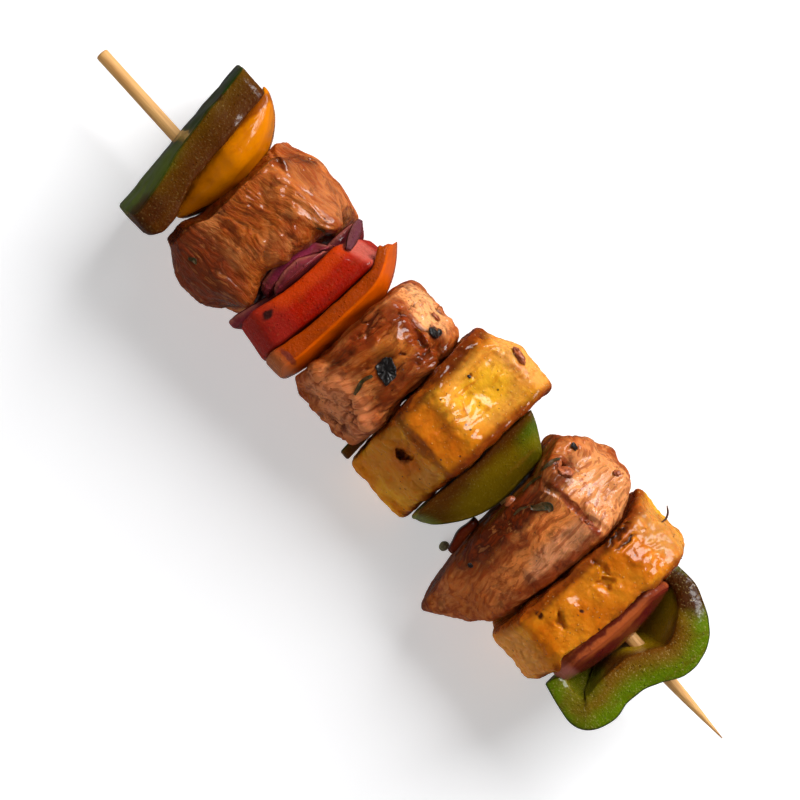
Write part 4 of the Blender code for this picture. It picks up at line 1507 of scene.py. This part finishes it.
def build_onions(relief, colours):
    def petal_finish(name, wall, seed, marks=()):
        return slice_finish(
            name,
            tuple(colours.skin),
            tuple(colours.flesh),
            tuple(colours.inner),
            tuple(colours.cooked),
            wall,
            gloss=0.2,
            seed=seed,
            browned=0.35,
            marks=marks,
        )

    # Each petal: its outline across the stick, and how far its sides are from the red pepper.
    petals = {
        "onion_a_outer": (
            [(14, -9), (17.2, 2), (11.5, 6.5), (-14, 6), (-19.2, 2), (-15, -8)],
            lambda y: 0.5 + 0.0 * y,
            lambda y: 2.8 + 0.0 * y,
            0.8,
        ),
        "onion_a_middle": (
            [(7.4, -6), (7.8, 9.0), (5.0, 12.6), (-3.6, 13.2), (-6.8, 10.0), (-7.2, -6)],
            lambda y: 0.4 + 0.05 * above(-y, 0.0),
            lambda y: 3.3 - 0.46 * above(y, 1.5) - 0.2 * above(-y, 2.0),
            0.3,
        ),
        "onion_a_inner": (
            [(7, -8), (9.4, 9), (7.5, 11.6), (-6, 10.8), (-8.6, 9.0), (-9, -7)],
            lambda y: np.maximum(0.5, 3.2 - 0.46 * above(y, 1.5) - 0.2 * above(-y, 2.0)),
            lambda y: 5.9 - 1.3 * above(y, 4.8) - 0.02 * y**2 * (y < 0.0),
            0.3,
        ),
    }
    pale_rim = ((-39.9, 0, 10), (0.6, 9, 5), srgb(206, 124, 96), 0.8)
    purple_face = ((-38.2, 1, 11), (1.6, 7, 4), srgb(146, 44, 74), 0.8)
    for count, (node, (corners, near, far, edge)) in enumerate(petals.items()):
        rise = 0.0 if node == "onion_a_outer" else 1.2
        mesh = slice_mesh(
            node,
            corners,
            lambda y, z: red_left(y, z) - far(y),
            lambda y, z: red_left(y, z) - near(y),
            lambda y, z: red_left(y, z) - far(y),
            1.6,
            0.4,
            edge,
            low_corners=[(y, z + rise * (z > 0)) for y, z in corners],
        )
        tints = (pale_rim, purple_face) if node == "onion_a_inner" else ()
        finish = petal_finish(node + "_cut", 2.4, 8.0 + count, tints)
        build_slice(node, "onion", mesh, relief, finish, 8.0 + count, Wave_Depth=0.2)

    path = [(-35.4, 16.9, 4.4), (-34.4, 15.2, 7.4), (-33.2, 13.0, 9.6), (-32.0, 10.8, 12.0)]
    obj = new_object("onion_a_strip", strip(path, 2.7, 1.5))
    finish = slice_finish(
        "onion_a_strip_cut",
        srgb(40, 14, 18),
        srgb(128, 74, 76),
        srgb(104, 52, 62),
        tuple(colours.cooked),
        2.6,
        gloss=0.18,
        seed=11.0,
    )
    shape_with(obj, relief, finish, Seed=11.0, Wave_Depth=0.1)
    show(obj, "onion")

    corners = [(9, -9), (14.2, 5), (9, 10.5), (-12, 11), (-17.8, 5), (-14, -8.5)]
    mesh = slice_mesh(
        "onion_b", corners, onion_b_inside, onion_b_skin, onion_b_skin, 1.8, 0.4, 0.9
    )
    finish = slice_finish(
        "onion_b_cut",
        tuple(colours.skin),
        srgb(176, 84, 44),
        srgb(184, 92, 44),
        tuple(colours.cooked),
        4.5,
        gloss=0.2,
        seed=12.0,
        browned=0.2,
        marks=[
            ((66, -15.5, 4), (4, 2.4, 8), srgb(186, 112, 100), 0.8),
            ((65.9, -1, 10), (1.3, 10, 4), srgb(196, 96, 42), 0.7),
            ((63.8, 0, 10), (0.8, 14, 5), srgb(90, 14, 14), 0.85),
            ((66.2, 10.5, 9), (2, 3, 5), srgb(120, 40, 24), 0.7),
        ],
    )
    build_slice("onion_b", "onion", mesh, relief, finish, 12.0)


def smooth_path(points, t):
    """A point on a smooth curve through points. t goes from 0 to 1."""
    place = t * (len(points) - 1)
    k = min(int(place), len(points) - 2)
    t = place - k
    a, b = points[max(k - 1, 0)], points[k]
    c, d = points[k + 1], points[min(k + 2, len(points) - 1)]
    return tuple(
        0.5
        * (
            2 * b[i]
            + (c[i] - a[i]) * t
            + (2 * a[i] - 5 * b[i] + 4 * c[i] - d[i]) * t * t
            + (3 * b[i] - a[i] - 3 * c[i] + d[i]) * t**3
        )
        for i in range(len(b))
    )


def build_curl(relief, colours):
    """The end of a pepper: one wall on a bent path, open towards the onion."""
    spine = [(64.6, 15.8), (70.0, 15.6), (75.0, 12.6), (78.6, 8.5), (79.4, 3.8)]
    spine += [(77.2, -0.8), (75.6, -5.0), (75.4, -10.0), (76.0, -14.8), (74.4, -18.4)]
    spine += [(69.8, -19.2), (65.5, -18.2)]
    gather = np.array((70.3, -1.0))
    top, bottom = 9.5, -13.0
    stations = 240
    shares = np.linspace(0.0, 1.0, stations)
    plan = np.array([smooth_path(spine, t) for t in shares])
    arm = np.abs(2.0 * shares - 1.0)
    wall = 7.6 + (4.2 - 7.6) * ease(arm, 0.45, 0.95)
    rim = top - 3.5 * ease(arm, 0.55, 1.0)

    def centre_line(height):
        drawn_in = 0.8 * (1.0 - height) ** 2.0
        return plan + (gather - plan) * drawn_in

    def across(line):
        ahead = np.gradient(line, axis=0)
        side = np.column_stack([ahead[:, 1], -ahead[:, 0]])
        return side / np.linalg.norm(side, axis=1, keepdims=True)

    loop = []
    for height in np.linspace(0.04, 0.96, 22):
        loop.append((height, -1.0, 1.0))
    for turn in np.linspace(0.0, math.pi, 13)[1:-1]:
        loop.append((0.96 + 0.04 * math.sin(turn), -math.cos(turn), 1.0))
    for height in np.linspace(0.96, 0.04, 22):
        loop.append((height, 1.0, 1.0))
    for turn in np.linspace(0.0, math.pi, 13)[1:-1]:
        loop.append((0.04 - 0.04 * math.sin(turn), math.cos(turn), 1.0))
    rings, depths = [], []
    for height, side, share in loop:
        line = centre_line(height)
        normal = across(line)
        flat = line - normal * (side * wall / 2.0)[:, None]
        level = bottom + (rim - bottom) * height
        rings.append(np.column_stack([flat, level]))
        depths.append((1.0 - side) * wall / 2.0)
    rings = np.array(rings).transpose(1, 0, 2)
    depths = np.array(depths).T
    mesh = ring_mesh("green_pepper_d", rings, values={"depth": depths})
    finish = slice_finish(
        "green_pepper_d_cut",
        tuple(colours.green_skin),
        tuple(colours.fresh_flesh),
        srgb(118, 84, 6),
        srgb(104, 50, 6),
        7.6,
        seed=9.0,
        browned=0.7,
        fresh=0.2,
        sparkle=0.26,
        painted_glint_share=0.34,
        marks=[
            ((69.5, 15, 7), (6.5, 3.6, 8), srgb(66, 22, 4), 0.95),
            ((74, -19, 2), (6, 3, 8), srgb(122, 84, 24), 0.6),
            # Painted light: the hollow's inner wall lies in shade and is painted a lighter olive to make up
            # for it.
            ((71, 5, -2), (7, 9, 9), srgb(186, 150, 10), 1.0),
            ((71.5, -14, 2), (3.4, 5, 9), srgb(96, 104, 6), 0.8),
            ((81.2, -5, 0), (1.6, 4.5, 9), srgb(30, 54, 40), 0.7),
        ],
    )
    build_slice("green_pepper_d", "green_pepper", mesh, relief, finish, 9.0, Wave_Depth=0.5)


# ---------------------------------------------------------------- herbs and bits


class Ground:
    """The finished pieces as something to lay bits on."""

    def __init__(self, *names):
        self.trees = []
        for name in names:
            mesh = bpy.data.objects[name].data
            corners = [tuple(v.co) for v in mesh.vertices]
            faces = [tuple(face.vertices) for face in mesh.polygons]
            self.trees.append(BVHTree.FromPolygons(corners, faces))

    def seen(self, x, y):
        """The point and normal where the camera sees (x, y) of the stick's plane."""
        eye = Vector(to_metres(EYE))
        way = (Vector(to_metres((x, y, 0.0))) - eye).normalized()
        hits = [tree.ray_cast(eye, way) for tree in self.trees]
        hits = [hit for hit in hits if hit[0] is not None]
        if not hits:
            raise ValueError(f"nothing lies under {x}, {y}")
        point, normal, _, _ = min(hits, key=lambda hit: (hit[0] - eye).length)
        place = (np.array(point) - (0.0, AXIS_Y, AXIS_Z)) / MM
        return place, np.array(normal if normal.z > 0.0 else -normal)


def leaf(ground, path, width, thickness=0.22, lift=0.1, tip=0.25):
    """A slim leaf or thread that follows the surface along a path of seen points."""
    shares = np.linspace(0.0, 1.0, 26)
    spots = [ground.seen(*smooth_path(path, t)) for t in shares]
    line = np.array([spot[0] for spot in spots])
    up = np.array([spot[1] for spot in spots])
    for _ in range(4):
        line[1:-1] = (line[:-2] + 2.0 * line[1:-1] + line[2:]) / 4.0
        up[1:-1] = (up[:-2] + 2.0 * up[1:-1] + up[2:]) / 4.0
    ahead = np.gradient(line, axis=0)
    side = np.cross(up, ahead)
    side /= np.linalg.norm(side, axis=1, keepdims=True)
    half = width / 2.0 * (tip + (1.0 - tip) * np.sin(np.pi * np.clip(shares, 0.04, 0.96)))
    rings = []
    for turn in np.linspace(0.0, math.tau, 12, endpoint=False):
        across = math.cos(turn)
        high = lift + thickness * (math.sin(turn) * 0.5 + 0.5) + 0.18 * width * across**2
        rings.append(line + side * (half * across)[:, None] + up * high)
    return ring_mesh("leaf", np.array(rings).transpose(1, 0, 2))


def crumb(ground, x, y, radii, turn=0.0, seed=0, sink=0.25):
    """A rough lump that sits on the surface at a seen point."""
    place, up = ground.seen(x, y)
    bm = bmesh.new()
    bmesh.ops.create_icosphere(bm, subdivisions=4, radius=1.0)
    for vert in bm.verts:
        bumps = noise.noise(vert.co * 1.6 + Vector((seed * 7.1, 0.0, 0.0))) * 0.35
        bumps += noise.noise(vert.co * 4.0 + Vector((0.0, seed * 3.7, 0.0))) * 0.12
        vert.co *= 1.0 + bumps
        vert.co = Vector([vert.co[i] * radii[i] for i in range(3)])
    spin = Quaternion((0.0, 0.0, 1.0), turn)
    tilt = Vector((0.0, 0.0, 1.0)).rotation_difference(Vector(up))
    centre = Vector(place) + Vector(up) * radii[2] * (1.0 - 2.0 * sink)
    for vert in bm.verts:
        vert.co = Vector(to_metres(centre + tilt @ (spin @ vert.co)))
    mesh = bpy.data.meshes.new("crumb")
    bm.to_mesh(mesh)
    bm.free()
    return mesh


def flake(ground, corners, thickness, sink=0.6, seed=0):
    """A blocky scab that follows the surface inside an outline of seen points."""
    outline = rounded_outline(corners, 0.5, 0.1, 90)
    centre = outline.mean(0)
    spot, up = ground.seen(*centre)
    rings = []
    for share in (0.12, 0.3, 0.5, 0.7, 0.85, 0.95, 1.0):
        rings.append([(*(centre + (q - centre) * share), 1.0 if share < 1.0 else 0.7) for q in outline])
    for share in (1.0, 0.8, 0.4):
        rings.append([(*(centre + (q - centre) * share), -1.0) for q in outline])
    placed = []
    for ring in rings:
        row = []
        for x, y, level in ring:
            place = ground.seen(x, y)[0]
            rough = noise.noise(Vector((x * 1.1, y * 1.1, seed * 5.3)))
            cracks = abs(noise.noise(Vector((x * 0.55, y * 0.55, seed * 2.1))))
            top = thickness * (0.8 + 0.5 * rough) - 0.5 * ease(cracks, 0.07, 0.0)
            row.append(place + up * (top * level if level > 0 else -sink))
        placed.append(row)
    return ring_mesh("flake", np.array(placed))


def joined(name, slot, finish, meshes):
    """One piece made of several small meshes."""
    bm = bmesh.new()
    for mesh in meshes:
        bm.from_mesh(mesh)
    mesh = bpy.data.meshes.new(name)
    bm.to_mesh(mesh)
    bm.free()
    obj = new_object(name, mesh)
    mesh.materials.append(finish)
    show(obj, slot)
    return obj


def sprinkled(tree, base, material, sizes, seed):
    """Grains on a finished piece, as a mesh of their own."""
    obj = new_object("grains", bpy.data.objects[base].data.copy())
    shape_with(
        obj,
        tree,
        material,
        Per_Square_Centimetre=sizes.flecks,
        Bit_Size=sizes.fleck_size / MM,
        Seed=seed,
    )
    mesh = obj.data
    bpy.data.objects.remove(obj)
    return mesh


def build_bits(sizes):
    """Herbs, scabs of char, garlic and the small things that cling to the food."""
    meat = Ground("chicken_a_crust", "chicken_b_crust", "chicken_c_crust")
    fruit = Ground("pineapple_a_flesh", "pineapple_b_flesh")

    herb = plain_finish("herb", tuple(sizes.herb), tuple(sizes.herb_brown), 1.2, 0.5, 0.1)
    leaves = [
        leaf(meat, [(35.2, 3.0), (36.4, 4.6), (37.6, 6.0), (38.8, 5.6)], 1.9, tip=0.5),
        leaf(meat, [(31.6, 14.6), (31.0, 12.6), (31.0, 10.0)], 1.0),
        leaf(meat, [(31.8, 9.2), (31.4, 6.5), (31.6, 4.0)], 0.9),
        leaf(meat, [(-9.0, -3.4), (-9.3, -6.0), (-8.5, -9.0)], 1.1, tip=0.5),
        leaf(meat, [(-54.6, -15.8), (-53.6, -15.2), (-52.4, -15.4)], 1.0, 0.12),
        leaf(meat, [(-41.0, 9.2), (-39.6, 9.9), (-38.6, 9.6)], 0.7, 0.12),
        leaf(meat, [(34.5, 2.6), (33.9, 1.0), (33.8, -1.0)], 0.6, 0.12),
    ]
    joined("herbs", "green_pepper", herb, leaves)

    coal = plain_finish("charred_scab", tuple(sizes.coal), srgb(34, 28, 26), 1.6, 0.3, 0.4)
    scabs = [
        flake(
            meat,
            [(-10.3, 1.2), (-9.2, 2.4), (-6.6, 1.5), (-5.3, 0.3), (-5.2, -2.8), (-8.2, -2.5), (-10.2, -1.6)],
            0.7,
            seed=3,
        ),
        crumb(meat, -7.0, 12.6, (1.3, 1.0, 0.35), 0.4, 1),
        crumb(meat, -6.2, 13.6, (0.6, 0.9, 0.3), 0.2, 2),
        crumb(meat, 31.6, 18.6, (1.0, 0.6, 0.4), 0.1, 3),
        crumb(meat, 35.6, -15.2, (0.7, 0.5, 0.3), 0.1, 5),
        crumb(fruit, 5.2, 12.0, (0.45, 0.3, 0.2), 0.1, 4),
    ]
    joined("charred_scabs", "chicken", coal, scabs)

    brown = plain_finish("cooked_garlic", tuple(sizes.garlic), srgb(128, 54, 26), 1.0, 0.3, 0.4)
    bits = [
        crumb(meat, 34.6, 13.4, (1.9, 1.3, 0.7), 0.9, 11),
        crumb(meat, 32.2, 13.4, (0.9, 1.1, 0.5), 0.2, 12),
        crumb(meat, 31.4, 0.6, (0.9, 1.3, 0.8), 0.1, 13),
        crumb(fruit, 9.2, 22.8, (1.9, 0.9, 0.7), -0.15, 14),
        crumb(fruit, 7.8, 23.2, (0.9, 0.7, 0.5), 0.3, 15),
        crumb(meat, 46.4, 9.9, (1.2, 0.5, 0.4), 0.3, 16),
        crumb(meat, 42.2, 21.6, (0.8, 0.6, 0.4), 0.3, 17),
        crumb(meat, -9.2, 15.2, (1.2, 0.7, 0.4), 0.3, 18),
    ]
    joined("garlic_bits", "chicken", brown, bits)

    pepper = plain_finish("black_pepper", tuple(sizes.fleck), srgb(70, 30, 10), 2.0, 0.5, 0.1)
    tree = scattered_bits()
    chunks = ("chicken_a_crust", "chicken_b_crust", "chicken_c_crust")
    chunks += ("pineapple_a_flesh", "pineapple_b_flesh")
    grains = [sprinkled(tree, name, pepper, sizes, 1.0 + k) for k, name in enumerate(chunks)]
    joined("pepper_flecks", "chicken", pepper, grains)

    stalk = plain_finish("burnt_stalk", srgb(44, 18, 14), srgb(86, 40, 16), 1.0, 0.5, 0.1)
    twig = strip([(54.0, 24.6, 6), (54.9, 23.6, 8.5), (55.4, 22.4, 9.8), (55.3, 21.2, 10.4)], 0.5, 0.5)
    joined("twig", "green_pepper", stalk, [twig])

    seed = plain_finish("seed_coat", srgb(150, 148, 112), srgb(112, 106, 76), 0.8, 0.3, 0.4)
    bm = bmesh.new()
    bmesh.ops.create_icosphere(bm, subdivisions=4, radius=1.0)
    for vert in bm.verts:
        dented = 1.0 + 0.1 * noise.noise(vert.co * 1.3)
        place = np.array(vert.co) * (1.08, 1.2, 1.1) * dented + (29.8, -17.2, -17.2)
        vert.co = Vector(to_metres(place))
    bead = bpy.data.meshes.new("bead")
    bm.to_mesh(bead)
    bm.free()
    thread = [(30.2, -16.6, -16.5), (31.0, -16.2, -14.0), (32.0, -16.0, -11.0), (33.2, -15.6, -7.0)]
    joined("fallen_seed", "green_pepper", seed, [bead, strip(thread, 0.3, 0.3)])


# ---------------------------------------------------------------- stage


def place_lamp(name, light, offset):
    """A lamp beside the kebab, turned towards it."""
    lamp = new_object(name, light)
    aim = Vector((0.0, AXIS_Y, AXIS_Z))
    lamp.location = aim + Vector(offset)
    lamp.rotation_euler = (aim - lamp.location).to_track_quat("-Z", "Y").to_euler()
    return lamp


def build_stage(sizes):
    mesh = bpy.data.meshes.new("floor")
    half = 1.5
    corners = [(-half, -half, 0.0), (half, -half, 0.0), (half, half, 0.0), (-half, half, 0.0)]
    mesh.from_pydata(corners, [], [(0, 1, 2, 3)])
    floor = new_object("floor", mesh)
    plain = Finish("plain_floor")
    grain = plain.ease(plain.noise(plain.place, 0.02, 1.0), 0.3, 0.7, 0.0, 0.02)
    shade = plain.mix(tuple(sizes.floor), (1.0, 1.0, 1.0), grain)
    glow = {"Emission_Color": (1.0, 1.0, 1.0, 1.0), "Emission_Strength": sizes.floor_glow}
    mesh.materials.append(plain.close(shade, 0.9, **glow, Specular_IOR_Level=0.0))
    floor.visible_glossy = False

    light = bpy.data.lights.new("key_light", "AREA")
    light.shape = "RECTANGLE"
    light.size, light.size_y = 0.7, 0.65
    light.energy = sizes.key_power
    place_lamp("key_light", light, (0.05, 0.72, 0.52)).visible_glossy = False
    glint = bpy.data.lights.new("glint_light", "AREA")
    glint.shape = "RECTANGLE"
    glint.size, glint.size_y = 0.4, 0.7
    glint.energy = sizes.glint_power
    place_lamp("glint_light", glint, (0.05, 0.62, 0.62)).visible_diffuse = False
    soft = bpy.data.lights.new("fill_light", "AREA")
    soft.shape = "RECTANGLE"
    soft.size, soft.size_y = 1.4, 0.8
    soft.energy = sizes.fill_power
    place_lamp("fill_light", soft, (-0.1, -0.9, 0.75)).visible_glossy = False

    world = bpy.data.worlds.new("soft_room")
    world.use_nodes = True
    net = Net(world.node_tree)
    sky = net.out("ShaderNodeBackground", None, {"Color": (1.0, 1.0, 1.0), "Strength": sizes.fill})
    net.node("ShaderNodeOutputWorld", None, {"Surface": sky})
    bpy.context.scene.world = world

    camera = bpy.data.cameras.new("camera")
    camera.lens = 100.0
    camera.sensor_width = 36.0
    camera.clip_start = 0.01
    eye = new_object("camera", camera)
    eye.location = to_metres(EYE)
    eye.rotation_euler = (0.0, 0.0, math.radians(47.8))
    bpy.context.scene.camera = eye
    bpy.context.scene.view_settings.view_transform = "Standard"


# ---------------------------------------------------------------- add-on


class KEBAB_OT_stick(bpy.types.Operator):
    """Make the bamboo stick"""

    bl_idname = "kebab.stick"
    bl_label = "Bamboo stick"
    bl_options = {"REGISTER", "UNDO"}

    def execute(self, context):
        build_stick(context.scene.kebab_stick)
        return {"FINISHED"}


class KEBAB_OT_chicken(bpy.types.Operator):
    """Make the three chunks of chicken"""

    bl_idname = "kebab.chicken"
    bl_label = "Chicken"
    bl_options = {"REGISTER", "UNDO"}

    def execute(self, context):
        sizes = context.scene.kebab_meat
        relief = meat_relief()
        chunks = {
            "chicken_a": (sculpt_chicken_a, (1.0, 0.2, 0.0), 1.0, chicken_a_marks, 0.9, 0.5, 6.0),
            "chicken_b": (sculpt_chicken_b, (0.2, 1.0, 0.2), 2.0, chicken_b_marks, 1.9, 0.5, 6.0),
            "chicken_c": (sculpt_chicken_c, (-0.15, 1.0, 0.0), 3.0, chicken_c_marks, 0.8, 0.6, 15.0),
        }
        for node, (sculpt, fibre, seed, marks, rough, strands, long) in chunks.items():
            fibre = tuple(Vector(fibre).normalized())
            name = node + "_crust"
            material = chicken_finish(name, sizes, seed, fibre, strands, long, marks(sizes))
            build_meat(node, relief, material, sizes, sculpt, fibre, seed, rough, long)
        return {"FINISHED"}


class KEBAB_OT_pineapple(bpy.types.Operator):
    """Make the two chunks of pineapple"""

    bl_idname = "kebab.pineapple"
    bl_label = "Pineapple"
    bl_options = {"REGISTER", "UNDO"}

    def execute(self, context):
        sizes = context.scene.kebab_fruit
        relief = fruit_relief()
        build_fruit("pineapple_a", relief, sizes, sculpt_pineapple_a, 4.0, pineapple_a_marks)
        build_fruit("pineapple_b", relief, sizes, sculpt_pineapple_b, 5.0, pineapple_b_marks)
        return {"FINISHED"}


class KEBAB_OT_peppers(bpy.types.Operator):
    """Make the slices of pepper"""

    bl_idname = "kebab.peppers"
    bl_label = "Pepper slices"
    bl_options = {"REGISTER", "UNDO"}

    def execute(self, context):
        relief = flesh_relief()
        build_peppers(relief, context.scene.kebab_peppers)
        build_curl(relief, context.scene.kebab_peppers)
        return {"FINISHED"}


class KEBAB_OT_onions(bpy.types.Operator):
    """Make the petals of red onion"""

    bl_idname = "kebab.onions"
    bl_label = "Onion petals"
    bl_options = {"REGISTER", "UNDO"}

    def execute(self, context):
        build_onions(flesh_relief(), context.scene.kebab_onions)
        return {"FINISHED"}


class KEBAB_OT_bits(bpy.types.Operator):
    """Make the herbs, the charred scabs and the bits of garlic"""

    bl_idname = "kebab.bits"
    bl_label = "Herbs and bits"
    bl_options = {"REGISTER", "UNDO"}

    def execute(self, context):
        build_bits(context.scene.kebab_bits)
        return {"FINISHED"}


class KEBAB_OT_stage(bpy.types.Operator):
    """Make the floor, the lights and the camera"""

    bl_idname = "kebab.stage"
    bl_label = "Floor, lights and camera"
    bl_options = {"REGISTER", "UNDO"}

    def execute(self, context):
        build_stage(context.scene.kebab_stage)
        return {"FINISHED"}


class KEBAB_PT_panel(bpy.types.Panel):
    """Sizes, colours and buttons of the kebab"""

    bl_idname = "KEBAB_PT_panel"
    bl_label = "Chicken kebab skewer"
    bl_space_type = "VIEW_3D"
    bl_region_type = "UI"
    bl_category = "Kebab"

    def draw(self, context):
        for operator, group in STEPS:
            box = self.layout.box()
            settings = getattr(context.scene, group)
            for key in settings.bl_rna.properties.keys():
                if key not in ("rna_type", "name"):
                    box.prop(settings, key)
            box.operator(operator)


STEPS = (
    ("kebab.stage", "kebab_stage"),
    ("kebab.stick", "kebab_stick"),
    ("kebab.chicken", "kebab_meat"),
    ("kebab.pineapple", "kebab_fruit"),
    ("kebab.peppers", "kebab_peppers"),
    ("kebab.onions", "kebab_onions"),
    ("kebab.bits", "kebab_bits"),
)
GROUPS = {
    "kebab_stage": KebabStageSizes,
    "kebab_stick": KebabStickColours,
    "kebab_meat": KebabMeatSizes,
    "kebab_fruit": KebabFruitSizes,
    "kebab_peppers": KebabPepperColours,
    "kebab_onions": KebabOnionColours,
    "kebab_bits": KebabBitSizes,
}
OPERATORS = (
    KEBAB_OT_stage,
    KEBAB_OT_stick,
    KEBAB_OT_chicken,
    KEBAB_OT_pineapple,
    KEBAB_OT_peppers,
    KEBAB_OT_onions,
    KEBAB_OT_bits,
    KEBAB_PT_panel,
)


def register():
    for cls in (*GROUPS.values(), *OPERATORS):
        bpy.utils.register_class(cls)
    for name, group in GROUPS.items():
        setattr(bpy.types.Scene, name, PointerProperty(type=group))


def unregister():
    for name in GROUPS:
        delattr(bpy.types.Scene, name)
    for cls in reversed((*GROUPS.values(), *OPERATORS)):
        bpy.utils.unregister_class(cls)


def main():
    register()
    for operator, _ in STEPS:
        group, name = operator.split(".")
        getattr(getattr(bpy.ops, group), name)()


if __name__ == "__main__":
    main()
